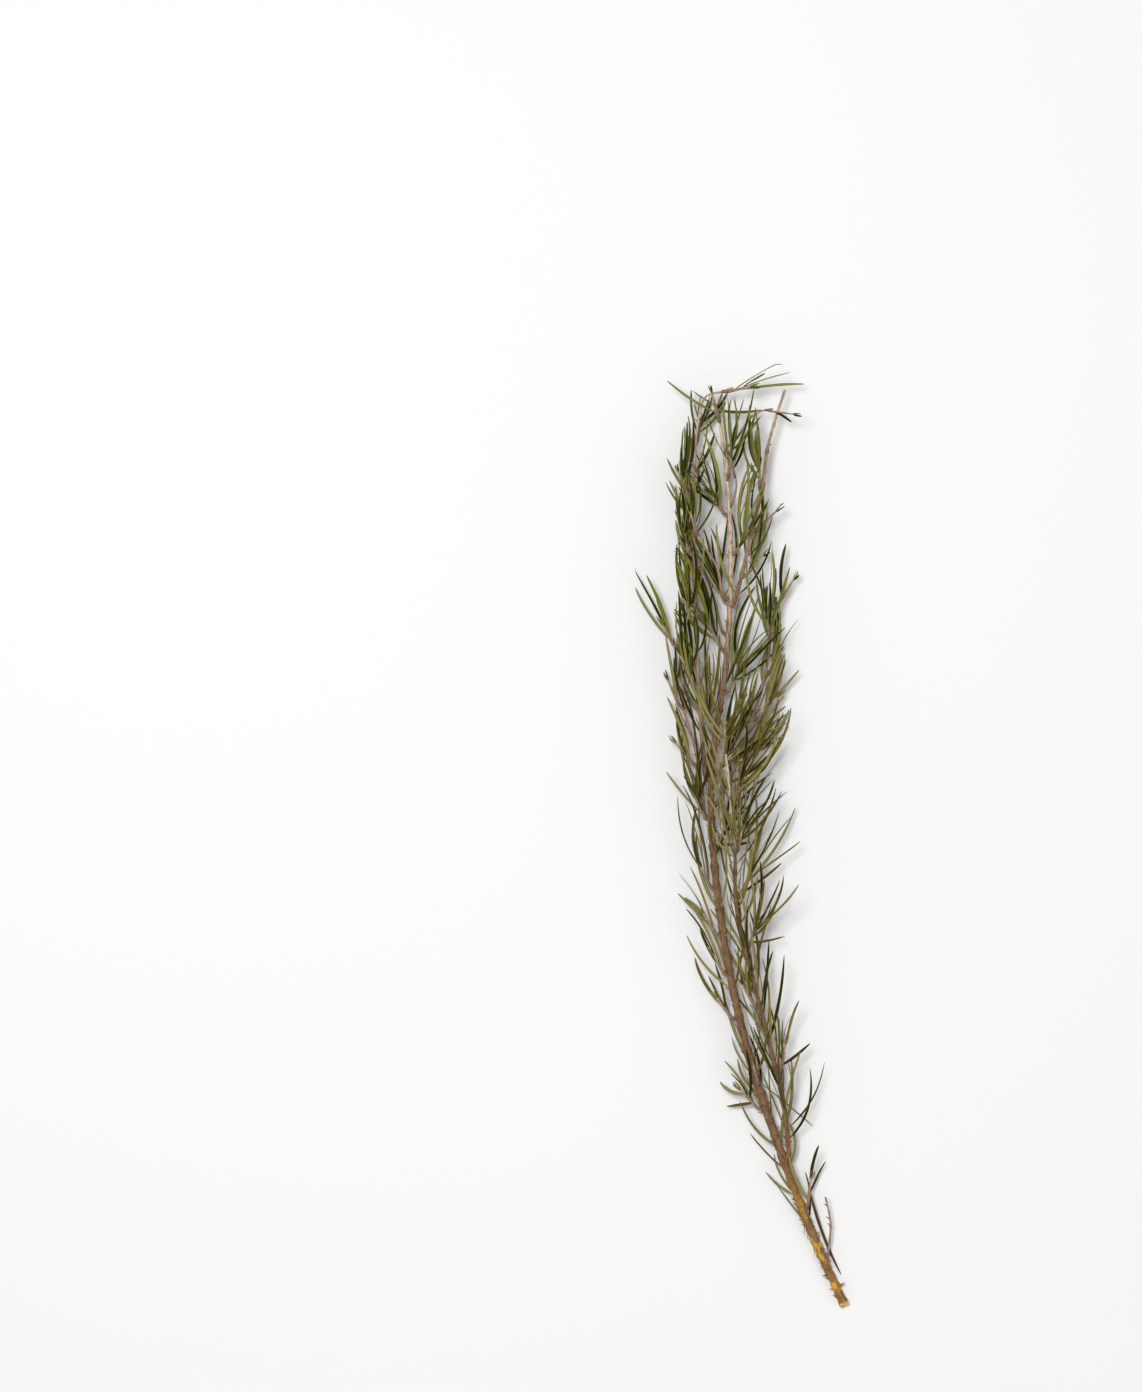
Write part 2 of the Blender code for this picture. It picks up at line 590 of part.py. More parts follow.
def keep_outer_shell(mesh):
    """Leave only the outer skin, where crossing leaves have walled in a pocket."""
    solid = bmesh.new()
    solid.from_mesh(mesh)
    waiting = set(solid.verts)
    shells = []
    while waiting:
        shell = set()
        front = [waiting.pop()]
        while front:
            vert = front.pop()
            shell.add(vert)
            for edge in vert.link_edges:
                other = edge.other_vert(vert)
                if other in waiting:
                    waiting.remove(other)
                    front.append(other)
        shells.append(shell)
    shells.sort(key=len)
    for shell in shells[:-1]:
        bmesh.ops.delete(solid, geom=list(shell), context="VERTS")
    solid.to_mesh(mesh)
    solid.free()


def unite(name, meshes, material):
    """One closed body from several that run into one another."""
    body = bpy.data.objects.new(name, meshes[0])
    bpy.context.collection.objects.link(body)
    cutters = []
    for mesh in meshes[1:]:
        cutter = bpy.data.objects.new(name + "_part", mesh)
        bpy.context.collection.objects.link(cutter)
        union = body.modifiers.new("Union", "BOOLEAN")
        union.operation = "UNION"
        union.solver = "EXACT"
        union.object = cutter
        cutters.append(cutter)
    view = bpy.context.evaluated_depsgraph_get()
    united = bpy.data.meshes.new_from_object(body.evaluated_get(view))
    body.modifiers.clear()
    body.data = united
    keep_outer_shell(united)
    united.materials.clear()
    united.materials.append(material)
    for cutter in cutters:
        bpy.data.objects.remove(cutter)
    return body


def build():
    clear_scene()
    materials = {name: make_material(name) for name in LOOKS}
    routes, shoots = grow_sprig()
    for name, stem in STEMS.items():
        wood = "young_wood"
        if name in OLD_WOOD_STEMS:
            wood = "old_wood"
        if name in DEAD_WOOD_STEMS:
            wood = "dead_wood"
        make_stem(name, stem, routes[name], materials[wood])
    for name, shoot in shoots.items():
        kind = "green_leaf" if shoot["foot"][1] > GREEN_FROM_Y else "dry_leaf"
        meshes = [shoot_solid(shoot)] + [leaf_solid(leaf) for leaf in shoot["leaves"]]
        unite(name, meshes, materials[kind])


build()
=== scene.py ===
"""The looks of a dried rosemary sprig lying on a pale table.

The sprig is grown by the same rules as its solids, so each fine stem and each fine leafy shoot lies
where its solid does. Lengths are worked out in millimetres and turned into metres in the meshes.
"""

import json
import math
import random

import bpy
import numpy as np
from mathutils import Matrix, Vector


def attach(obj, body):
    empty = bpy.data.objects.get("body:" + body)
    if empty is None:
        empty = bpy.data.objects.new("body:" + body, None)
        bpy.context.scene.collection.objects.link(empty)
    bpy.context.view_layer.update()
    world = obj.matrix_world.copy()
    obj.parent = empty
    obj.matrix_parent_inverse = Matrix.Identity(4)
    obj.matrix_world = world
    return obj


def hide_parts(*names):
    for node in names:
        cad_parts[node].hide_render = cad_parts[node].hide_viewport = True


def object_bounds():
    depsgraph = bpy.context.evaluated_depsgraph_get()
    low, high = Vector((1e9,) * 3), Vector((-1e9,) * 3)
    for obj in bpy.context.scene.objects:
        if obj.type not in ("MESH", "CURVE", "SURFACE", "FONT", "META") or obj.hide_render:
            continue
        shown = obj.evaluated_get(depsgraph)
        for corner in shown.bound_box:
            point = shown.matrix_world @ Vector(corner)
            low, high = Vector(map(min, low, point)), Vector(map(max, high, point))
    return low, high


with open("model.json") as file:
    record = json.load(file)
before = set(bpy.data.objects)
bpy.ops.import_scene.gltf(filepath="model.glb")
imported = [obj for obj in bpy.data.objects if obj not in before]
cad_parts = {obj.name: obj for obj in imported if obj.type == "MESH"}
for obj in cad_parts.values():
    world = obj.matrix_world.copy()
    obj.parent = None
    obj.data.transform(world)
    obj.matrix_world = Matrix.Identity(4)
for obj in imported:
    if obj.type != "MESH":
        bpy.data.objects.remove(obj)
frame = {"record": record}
CAD_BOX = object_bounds()

MM = 0.001

# Driving dimensions, in millimetres.
GAP = 0.35              # clear space kept between separate pieces
REST_HEIGHT = 0.45      # height of the middle line of a leaf that lies on the table
TOP_HEIGHT = 23.0       # no leaf reaches higher than this
LEAF_HALF_WIDTH = 0.60  # half the width of a full leaf
LEAF_BASE_SHARE = 0.45  # width at the leaf's foot, as a share of its full width
SHOOT_RADIUS = 0.55     # radius of a short shoot at its foot
SHOOT_TIP_SHARE = 0.6   # radius at the shoot's tip, as a share of that at its foot
BALL_SPACING = 0.7      # spacing of the points used to keep pieces apart
BALL_REACH = 3.0        # farther away than this, nothing can be too near
BLADE_FROM = 0.2        # leaves of one shoot may run together before this share of their length
CENTRE_X = 0.2333       # middle of the whole sprig's box, moved to X = 0
CENTRE_Y = -0.1092      # middle of the whole sprig's box, moved to Y = 0
LOWEST_Z = 0.0504       # lowest point of the whole sprig, moved to Z = 0

ROUTE_STEPS = 24        # points between two knots of a stem's route
LEAF_TRIES = 80         # tries to find room for a leaf
LEAF_DRIFT = 0.04       # how much farther off its place each new try may put the tip of a placed leaf
STRICT_TRIES = 50       # tries that also keep the leaves of one shoot off each other
SHOOT_TRIES = 40        # tries to find room for a shoot

SEED = 14

# The sprig's outline seen from above: a place along Y, and how far left and right leaves may reach.
OUTLINE = ((-145.0, 18.0, 36.0), (-110.0, 2.0, 30.0), (-60.0, -10.0, 26.0), (-20.0, -18.5, 23.0),
           (5.0, -19.5, 19.5), (25.0, -20.0, 16.0), (50.0, -20.5, 14.0), (70.0, -20.5, 12.0),
           (88.0, -20.0, 9.0), (105.0, -20.0, 7.5), (125.0, -17.0, 5.5), (135.0, -14.0, 4.0))

# Stretches along Y where the main stem shows from above, and how far leaves keep from it there.
SHOWN_STRETCHES = ((-150.0, -8.0), (30.0, 122.0))
SHOWN_MARGIN = 1.7

# Stems: the route of the middle line, the radius at the foot and at the tip, and how fast it tapers.
STEMS = {
    "main_stem": dict(
        route=((31.4, -141.8, 1.55), (20.6, -117.5, 2.3), (10.4, -90.5, 4.6), (1.1, -61.7, 7.0),
               (-5.6, -28.7, 8.6), (-8.9, 2.0, 9.5), (-8.6, 24.5, 9.5), (-4.4, 54.5, 9.2),
               (-3.3, 90.0, 9.0), (-5.9, 120.5, 7.8), (-8.3, 130.1, 7.2)),
        radius=(1.5, 0.4), taper=0.6),
    "right_long_branch": dict(
        route=((14.4, -94.8, 4.9), (12.5, -79.1, 7.0), (5.9, -52.7, 9.8), (-1.4, -22.7, 12.0),
               (-2.2, -2.6, 13.0), (-4.4, 20.0, 14.0), (-5.9, 30.5, 14.5)),
        radius=(0.85, 0.4), taper=0.8),
    "right_middle_branch": dict(
        route=((-6.6, 11.5, 9.3), (-1.5, 22.0, 7.5), (3.5, 36.0, 6.5), (7.5, 50.0, 6.5), (10.5, 72.0, 7.5)),
        radius=(0.7, 0.35), taper=0.8),
    "left_thin_branch": dict(
        route=((-11.2, 7.5, 9.0), (-13.4, 24.5, 7.6), (-17.0, 37.4, 6.5), (-17.9, 51.5, 6.0),
               (-19.4, 59.6, 5.5)),
        radius=(0.6, 0.35), taper=0.8),
    "left_long_branch": dict(
        route=((-11.1, 19.5, 10.8), (-13.1, 47.0, 13.0), (-14.0, 74.0, 12.0), (-14.6, 101.0, 10.0),
               (-13.1, 123.5, 8.5), (-11.0, 131.6, 9.0), (-5.9, 133.4, 10.5), (-2.6, 134.6, 11.0)),
        radius=(0.75, 0.3), taper=0.8),
    "upper_right_branch": dict(
        route=((-1.7, 71.5, 9.5), (2.0, 86.6, 10.0), (6.2, 105.5, 10.0), (7.7, 116.0, 9.5),
               (10.1, 125.0, 9.0), (13.1, 134.0, 8.5)),
        radius=(0.7, 0.42), taper=0.8),
    "upper_left_low_branch": dict(
        route=((-6.1, 62.5, 7.7), (-8.6, 72.8, 7.0), (-13.1, 84.2, 6.0), (-17.9, 96.5, 5.0)),
        radius=(0.5, 0.35), taper=0.8),
    "upper_left_high_branch": dict(
        route=((-6.2, 74.2, 10.8), (-7.7, 81.2, 12.5), (-12.5, 88.4, 14.0), (-14.3, 92.6, 15.0)),
        radius=(0.5, 0.35), taper=0.8),
    "tip_spur": dict(
        route=((-2.2, 101.8, 10.0), (-1.6, 105.5, 11.2), (-2.6, 109.4, 12.5)),
        radius=(0.38, 0.3), taper=1.0),
    "bent_twig": dict(
        route=((-4.0, 117.2, 9.0), (-1.1, 119.9, 9.6), (2.0, 125.0, 10.2), (5.5, 127.4, 10.4),
               (9.3, 128.2, 10.8)),
        radius=(0.36, 0.28), taper=1.0),
    "lower_dry_twig": dict(
        route=((26.5, -125.0, 3.0), (27.0, -116.6, 4.5), (25.4, -108.5, 5.5)),
        radius=(0.36, 0.25), taper=1.0),
    "middle_dry_twig": dict(
        route=((5.5, -56.9, 10.7), (4.4, -53.5, 11.6), (2.4, -50.0, 12.4)),
        radius=(0.34, 0.25), taper=1.0),
}

# Leafy shoots, by stem: the place along the stem, the side it leaves from (0 right, 90 up, 180 left,
# 270 down), the number of leaves, the leaf length, and the tips of leaves with a place of their own.
SHOOTS = {
    "main_stem": (
        (0.118, 25, 4, 13, ((14.2, -95.5, 6.0), (25.6, -98.0, 3.5), (30.4, -132.5, 0.8))),
        (0.235, 165, 5, 10, ((-5.0, -67.5, 7.0), (-4.3, -81.5, 3.0), (1.2, -63.5, 9.5))),
        (0.262, 85, 3, 14, ((21.5, -88.0, 5.0), (-6.0, -59.0, 8.5))),
        (0.335, 195, 3, 15, ((-9.8, -42.0, 5.0), (-8.0, -38.0, 8.0))),
        (0.385, 170, 3, 19, ((-14.6, -21.5, 8.0), (-12.2, -27.5, 4.5))),
        (0.428, 180, 5, 18, ((-15.5, -8.9, 11.0), (-22.0, -14.9, 8.0), (-18.5, -20.5, 4.0),
                             (-1.2, -46.5, 6.5))),
        (0.478, 150, 6, 21, ((-17.6, 15.5, 12.0), (-14.7, 8.2, 8.0), (-12.4, 12.0, 4.0))),
        (0.52, 330, 10, 19, ((2.6, -1.5, 11.0),)),
        (0.552, 165, 11, 19, ((-22.4, 19.4, 9.0), (-19.1, 17.0, 12.5))),
        (0.6, 15, 12, 21, ()), (0.645, 200, 12, 21, ()), (0.69, 350, 13, 22, ()),
        (0.735, 170, 13, 21, ()), (0.785, 205, 13, 21, ()), (0.838, 25, 12, 20, ()),
        (0.88, 175, 13, 19, ()),
        (0.922, 60, 10, 17, ((-5.6, 131.5, 12.0), (2.6, 134.0, 10.5), (5.6, 126.0, 9.0),
                             (-9.0, 127.5, 4.0))),
        (0.985, 90, 5, 18, ((-22.2, 136.6, 10.0), (6.2, 128.2, 7.0), (-14.5, 134.0, 4.5))),
    ),
    "right_long_branch": (
        (0.2, 10, 4, 14, ((20.5, -62.0, 9.0),)),
        (0.36, 150, 4, 15, ()),
        (0.5, 20, 10, 19, ((13.0, -30.0, 10.0),)),
        (0.62, 340, 12, 22, ((12.0, -8.0, 9.0),)),
        (0.73, 60, 13, 22, ()), (0.85, 10, 13, 22, ()), (0.97, 80, 13, 22, ()),
    ),
    "right_middle_branch": (
        (0.2, 350, 11, 21, ((13.0, 42.0, 4.0),)),
        (0.42, 15, 12, 21, ((17.5, 50.0, 6.0),)),
        (0.64, 340, 12, 20, ((18.0, 66.5, 5.0),)),
        (0.82, 120, 11, 19, ((14.5, 81.0, 9.0),)),
        (0.98, 20, 10, 17, ((13.5, 88.0, 6.0),)),
    ),
    "left_thin_branch": (
        (0.28, 185, 6, 18, ((-22.3, 41.9, 7.0),)),
        (0.62, 165, 10, 19, ((-22.8, 60.0, 9.0),)),
        (0.97, 175, 10, 20, ((-32.3, 80.6, 5.0), (-32.0, 75.0, 2.5), (-28.4, 78.4, 8.5),
                             (-25.8, 73.6, 4.0))),
    ),
    "left_long_branch": (
        (0.22, 170, 11, 20, ()),
        (0.38, 190, 12, 20, ((-22.1, 85.2, 10.0),)),
        (0.54, 160, 12, 20, ()),
        (0.68, 185, 12, 19, ((-22.4, 113.5, 9.0),)),
        (0.82, 170, 10, 17, ((-20.0, 127.0, 7.0), (-17.5, 131.5, 11.0))),
        (0.985, 60, 5, 15, ((18.8, 135.8, 9.5), (12.2, 142.2, 12.5), (14.6, 139.2, 11.0),
                            (8.2, 136.4, 10.5))),
    ),
    "upper_right_branch": (
        (0.12, 330, 12, 20, ((8.0, 91.0, 5.0),)),
        (0.34, 10, 11, 19, ((8.2, 101.5, 7.0),)),
        (0.53, 180, 12, 17, ((0.5, 92.0, 11.0), (2.6, 89.5, 13.5), (6.5, 92.6, 14.0),
                             (2.8, 112.0, 11.0))),
    ),
    "upper_left_low_branch": (
        (0.55, 200, 11, 18, ()),
        (0.97, 180, 10, 16, ((-22.4, 105.3, 5.5), (-20.6, 107.5, 7.5))),
    ),
    "upper_left_high_branch": (
        (0.95, 90, 11, 18, ()),
    ),
    "tip_spur": (
        (0.95, 90, 6, 16, ()),
    ),
    "bent_twig": (
        (0.96, 60, 3, 7, ((14.9, 124.2, 11.5),)),
    ),
}

SHOOT_LENGTH = 8.0                # length of a leafy shoot
SHOOT_LEAN = (14.0, 34.0)         # degrees between a shoot and its stem
LEAF_LEAN = (8.0, 33.0)           # degrees between a leaf and its shoot
LEAF_LENGTH_SPREAD = (0.85, 1.3)
LEAF_BOW = (-0.20, 0.27)          # how far a leaf's middle stands out, as a share of its length
LEAF_SWAY = 0.14                  # sideways bow, as a share of the length
LEAF_TURN = 40.0                  # degrees a leaf may be turned about its own length
LEAF_WIDTH_SPREAD = (0.8, 1.15)
LEAF_BASE_RISE = 3.0              # how fast a leaf widens from its foot
LEAF_TIP_POWER = 5                # higher is a blunter tip
LEAF_FROM = 0.12                  # share of a shoot's length at its first leaf
LEAF_STRETCH = 0.8                # share of a shoot's length that carries leaves
TURN_BETWEEN_LEAVES = 137.5       # degrees round the shoot from one leaf to the next
TURN_DRIFT = 0.3                  # how far off that turn a leaf may start, in radians
TURN_DRIFT_GROWTH = 0.2           # how much wider the drift is on each new try
LEAF_SHRINK = 0.3                 # how much shorter the last try's leaf is, as a share
PLACED_BOW = (0.02, 0.12)         # bow of a leaf whose tip has a place of its own
PLACED_WIDTH_SPREAD = (0.95, 1.2)
HEIGHT_DRIFT = 1.6                # drift of a placed tip upwards, as a share of that sideways
SHOOT_LENGTH_SPREAD = (0.8, 1.2)
SHOOT_SHRINK = 0.4                # how much shorter the last try's shoot is, as a share
SHOOT_TURN_STEP = 6.0             # how many degrees farther round the stem each new try may go
SHOOT_STANDOFF = 0.1              # extra gap between a shoot's foot and its stem
SHOOT_BALLS = 10                  # points along a shoot used to keep pieces apart


def unit(vector):
    """The same direction with length one."""
    return vector / max(np.linalg.norm(vector), 1e-9)


def arc(share, first, bend, last):
    """A point of the arc between two points that leans towards a third."""
    back = 1.0 - share
    return back * back * first + 2 * back * share * bend + share * share * last


class Route:
    """A smooth line through a stem's knots, read by the share of its length."""

    def __init__(self, knots):
        knots = np.array(knots, dtype=float)
        before = 2 * knots[0] - knots[1]
        after = 2 * knots[-1] - knots[-2]
        padded = np.vstack((before, knots, after))
        line = []
        for i in range(len(knots) - 1):
            a, b, c, d = padded[i:i + 4]
            for t in np.arange(ROUTE_STEPS) / ROUTE_STEPS:
                line.append(0.5 * (2 * b + (c - a) * t + (2 * a - 5 * b + 4 * c - d) * t ** 2
                                   + (3 * b - a - 3 * c + d) * t ** 3))
        line.append(knots[-1])
        self.line = np.array(line)
        steps = np.linalg.norm(np.diff(self.line, axis=0), axis=1)
        self.reach = np.concatenate(((0.0,), np.cumsum(steps)))
        self.length = self.reach[-1]

    def at(self, share):
        """The point at a share of the length."""
        place = min(max(share, 0.0), 1.0) * self.length
        return np.array([np.interp(place, self.reach, self.line[:, axis]) for axis in range(3)])

    def along(self, share):
        """The direction of growth at a share of the length."""
        step = 1.0 / self.length
        return unit(self.at(share + step) - self.at(share - step))

    def short_of(self, point, drop):
        """The point that lies a little before the place nearest to another point."""
        nearest = self.reach[int(np.argmin(np.linalg.norm(self.line - point, axis=1)))]
        return self.at((nearest - drop) / self.length)


class Clearing:
    """All that has grown so far, as balls along each piece's middle line."""

    def __init__(self):
        self.points = np.zeros((0, 3))
        self.radii = np.zeros(0)
        self.owners = np.zeros(0, dtype=int)
        self.blades = np.zeros(0, dtype=bool)
        self.shown = np.zeros((0, 3))

    def show_stem(self, line):
        """Keep the stretches of the main stem that leaves should not cover."""
        for low, high in SHOWN_STRETCHES:
            stretch = line[(line[:, 1] > low) & (line[:, 1] < high)]
            self.shown = np.vstack((self.shown, stretch))

    def covers_stem(self, points):
        """True if the outer two thirds of a leaf pass over a stretch that should show."""
        outer = points[len(points) // 3:]
        apart = np.linalg.norm(outer[:, None, :2] - self.shown[None, :, :2], axis=2)
        over = outer[:, None, 2] > self.shown[None, :, 2]
        return bool(np.any((apart < SHOWN_MARGIN) & over))

    def add(self, owner, points, radii, blades=None):
        """Keep a piece's balls; blades marks those on the outer part of a leaf."""
        if blades is None:
            blades = np.zeros(len(points), dtype=bool)
        self.points = np.vstack((self.points, points))
        self.radii = np.concatenate((self.radii, radii))
        self.owners = np.concatenate((self.owners, np.full(len(points), owner)))
        self.blades = np.concatenate((self.blades, blades))

    def keeps_off(self, points, radii, chosen, gap):
        """True if the balls stay the gap away from the chosen ones."""
        if not chosen.any() or not len(points):
            return True
        distances = np.linalg.norm(points[:, None, :] - self.points[chosen][None, :, :], axis=2)
        return bool(np.all(distances > radii[:, None] + self.radii[chosen][None, :] + gap))

    def is_free(self, owner, points, radii, blades=None):
        """True if the balls are clear of every other piece, and of the other leaves of their own."""
        low = points.min(axis=0) - BALL_REACH
        high = points.max(axis=0) + BALL_REACH
        near = np.all((self.points > low) & (self.points < high), axis=1)
        if not self.keeps_off(points, radii, near & (self.owners != owner), GAP):
            return False
        if blades is None:
            return True
        own_leaves = near & (self.owners == owner) & self.blades
        return self.keeps_off(points[blades], radii[blades], own_leaves, 0.0)


class Leaf:
    """A narrow leaf: an arc from its foot to its tip, and the way its upper face looks."""

    def __init__(self, foot, middle, tip, half_width, face):
        self.foot = foot
        self.middle = middle
        self.tip = tip
        self.half_width = half_width
        self.face = face
        self.length = np.linalg.norm(middle - foot) + np.linalg.norm(tip - middle)

    def at(self, share):
        return arc(share, self.foot, self.middle, self.tip)

    def along(self, share):
        return unit((1 - share) * (self.middle - self.foot) + share * (self.tip - self.middle))

    def width_at(self, share):
        """Half the width: narrow at the foot, full along the blade, rounded off at the tip."""
        foot = min(1.0, LEAF_BASE_SHARE + LEAF_BASE_RISE * share)
        return self.half_width * foot * math.sqrt(max(0.0, 1.0 - share ** LEAF_TIP_POWER))

    def balls(self):
        count = max(4, int(self.length / BALL_SPACING))
        shares = np.linspace(0.0, 1.0, count + 1)
        points = np.array([self.at(share) for share in shares])
        radii = np.array([self.width_at(share) for share in shares])
        return points, radii, shares > BLADE_FROM


def stem_radius(spec, share):
    """The radius of a stem, thick at its foot and thin at its tip."""
    foot, tip = spec["radius"]
    return tip + (foot - tip) * (1.0 - min(max(share, 0.0), 1.0)) ** spec["taper"]


def sides_of(direction):
    """The right-hand and the upper direction square to a line of growth."""
    right = unit(np.cross(direction, np.array((0.0, 0.0, 1.0))))
    upper = np.cross(right, direction)
    return right, upper


def outward_from(direction, azimuth):
    """The direction square to a line of growth, at an angle round it from the right upwards."""
    right, upper = sides_of(direction)
    return right * math.cos(azimuth) + upper * math.sin(azimuth)


def settle(point):
    """A point of a leaf, kept above the table."""
    return np.array((point[0], point[1], max(point[2], REST_HEIGHT)))


def inside_outline(leaf, outline, top, far_end=math.inf):
    """True if the leaf keeps to an outline seen from above, below a height and short of an end."""
    along, lefts, rights = np.array(outline).T
    for point in (leaf.middle, leaf.tip):
        left = np.interp(point[1], along, lefts)
        right = np.interp(point[1], along, rights)
        if not left < point[0] < right or point[2] > top or point[1] > far_end:
            return False
    return True


def bow_leaf(foot, tip, bow, sway, half_width, stem_direction, turn):
    """A leaf between two points, bowed away from its stem and turned about its length."""
    tip = settle(tip)
    chord = tip - foot
    length = np.linalg.norm(chord)
    side = np.cross(unit(chord), stem_direction)
    side = unit(side) if np.linalg.norm(side) > 0.05 else sides_of(unit(chord))[0]
    outward = np.cross(unit(chord), side)
    middle = settle(foot + 0.5 * chord + outward * bow * length + side * sway * length)
    face = -outward * math.cos(turn) + side * math.sin(turn)
    return Leaf(foot, middle, tip, half_width, face)


def random_leaf(rng, foot, shoot_direction, azimuth, length):
    """A leaf that leaves its shoot at a drawn lean, in the given direction round the shoot."""
    lean = math.radians(rng.uniform(*LEAF_LEAN))
    outward = outward_from(shoot_direction, azimuth)
    direction = shoot_direction * math.cos(lean) + outward * math.sin(lean)
    reach = length * rng.uniform(*LEAF_LENGTH_SPREAD)
    bow = rng.uniform(*LEAF_BOW)
    sway = rng.uniform(-LEAF_SWAY, LEAF_SWAY)
    half_width = LEAF_HALF_WIDTH * rng.uniform(*LEAF_WIDTH_SPREAD)
    turn = math.radians(rng.uniform(-LEAF_TURN, LEAF_TURN))
    return bow_leaf(foot, foot + direction * reach, bow, sway, half_width, shoot_direction, turn)


def grow_shoot(rng, clearing, owner, stem, route, spec):
    """A short shoot beside its stem, with its leaves, clear of all that has grown already."""
    at, side, leaf_count, leaf_length, tips = spec
    stem_direction = route.along(at)
    standoff = stem_radius(stem, at) + SHOOT_RADIUS + GAP + SHOOT_STANDOFF
    shares = np.linspace(0.0, 1.0, SHOOT_BALLS)
    radii = SHOOT_RADIUS * (1.0 - (1.0 - SHOOT_TIP_SHARE) * shares)
    for attempt in range(SHOOT_TRIES):
        spread = SHOOT_TURN_STEP * attempt
        outward = outward_from(stem_direction, math.radians(side + rng.uniform(-spread, spread)))
        lean = math.radians(rng.uniform(*SHOOT_LEAN))
        direction = stem_direction * math.cos(lean) + outward * math.sin(lean)
        shrink = 1.0 - SHOOT_SHRINK * attempt / SHOOT_TRIES
        length = SHOOT_LENGTH * rng.uniform(*SHOOT_LENGTH_SPREAD) * shrink
        foot = route.at(at) + outward * standoff
        points = foot + shares[:, None] * direction * length
        if points[:, 2].min() > SHOOT_RADIUS and clearing.is_free(owner, points, radii):
            break
    else:
        return None
    clearing.add(owner, points, radii)
    leaves = []
    for number in range(leaf_count):
        share = LEAF_FROM + LEAF_STRETCH * number / leaf_count
        place = foot + direction * length * share
        if number < len(tips):
            leaf = fixed_leaf(rng, clearing, owner, place, np.array(tips[number]), direction)
        else:
            leaf = free_leaf(rng, clearing, owner, place, direction, number, leaf_length)
        if leaf is not None:
            leaves.append(leaf)
            clearing.add(owner, *leaf.balls())
    return dict(foot=foot, direction=direction, length=length, leaves=leaves)


def fixed_leaf(rng, clearing, owner, place, tip, direction):
    """A leaf whose tip has a place of its own, give or take a little."""
    for attempt in range(LEAF_TRIES):
        slack = LEAF_DRIFT * attempt
        drift = np.array([rng.uniform(-slack, slack) for _ in range(3)])
        drift[2] *= HEIGHT_DRIFT
        bow = rng.uniform(*PLACED_BOW)
        sway = rng.uniform(-LEAF_SWAY, LEAF_SWAY)
        turn = math.radians(rng.uniform(-LEAF_TURN, LEAF_TURN))
        half_width = LEAF_HALF_WIDTH * rng.uniform(*PLACED_WIDTH_SPREAD)
        leaf = bow_leaf(place, tip + drift, bow, sway, half_width, direction, turn)
        if clearing.is_free(owner, *leaf.balls()):
            return leaf
    return None


def free_leaf(rng, clearing, owner, place, direction, number, length):
    """A leaf at the next turn round the shoot, wherever there is room for it."""
    for attempt in range(LEAF_TRIES):
        drift = rng.uniform(-TURN_DRIFT, TURN_DRIFT) * (1.0 + attempt * TURN_DRIFT_GROWTH)
        azimuth = number * math.radians(TURN_BETWEEN_LEAVES) + drift
        shrink = 1.0 - LEAF_SHRINK * attempt / LEAF_TRIES
        leaf = random_leaf(rng, place, direction, azimuth, length * shrink)
        points, radii, blades = leaf.balls()
        if attempt >= STRICT_TRIES:
            blades = None
        if not inside_outline(leaf, OUTLINE, TOP_HEIGHT, OUTLINE[-1][0]) or clearing.covers_stem(points):
            continue
        if clearing.is_free(owner, points, radii, blades):
            return leaf
    return None


def grow_sprig():
    """All routes and leafy shoots of the sprig, and the room that they take."""
    rng = random.Random(SEED)
    clearing = Clearing()
    routes = {}
    for owner, (name, stem) in enumerate(STEMS.items()):
        route = Route(stem["route"])
        routes[name] = route
        count = int(route.length / BALL_SPACING)
        shares = np.linspace(0.0, 1.0, count + 1)
        points = np.array([route.at(share) for share in shares])
        clearing.add(owner, points, np.array([stem_radius(stem, share) for share in shares]))
    clearing.show_stem(routes["main_stem"].line)
    shoots = {}
    owner = len(STEMS)
    for name, specs in SHOOTS.items():
        for number, spec in enumerate(specs, start=1):
            shoot = grow_shoot(rng, clearing, owner, STEMS[name], routes[name], spec)
            owner += 1
            if shoot is not None:
                shoots[f"{name}_leaves_{number:02d}"] = shoot
    return routes, shoots, clearing


def placed(points):
    """Points of the growth, in metres in the sprig's own frame."""
    return (np.asarray(points, dtype=float) - np.array((CENTRE_X, CENTRE_Y, LOWEST_Z))) * MM


# ---- Nodes: sums written as expressions, and one way to add any other node.


def operator(operation, swapped=False):
    """A method that puts a value and another term through one Math node."""
    def method(self, other):
        terms = (other, self) if swapped else (self, other)
        return self.maths(operation, *terms)
    return method


class Value:
    """A socket that can stand in a sum; each operator adds its Math node."""

    __add__ = operator("ADD")
    __radd__ = operator("ADD")
    __mul__ = operator("MULTIPLY")
    __sub__ = operator("SUBTRACT")
    __rsub__ = operator("SUBTRACT", swapped=True)
    __truediv__ = operator("DIVIDE")
    __pow__ = operator("POWER")
    above = operator("GREATER_THAN")

    def __init__(self, tree, socket):
        self.tree = tree
        self.socket = socket

    def maths(self, operation, *terms):
        node = self.tree.add("ShaderNodeMath", dict(enumerate(terms)), operation=operation)
        return self.tree.value(node)

    def size(self):
        return self.maths("ABSOLUTE", self)

    def ramp(self, low, high):
        """Rises smoothly from 0 at low to 1 at high."""
        node = self.tree.add("ShaderNodeMapRange", {"Value": self, "From Min": low, "From Max": high},
                             interpolation_type="SMOOTHSTEP")
        return self.tree.value(node, "Result")

    def bell(self, width):
        """One where the value is zero, fading within the width on both sides."""
        return self.maths("EXPONENT", (self / width) ** 2 * -1.0)


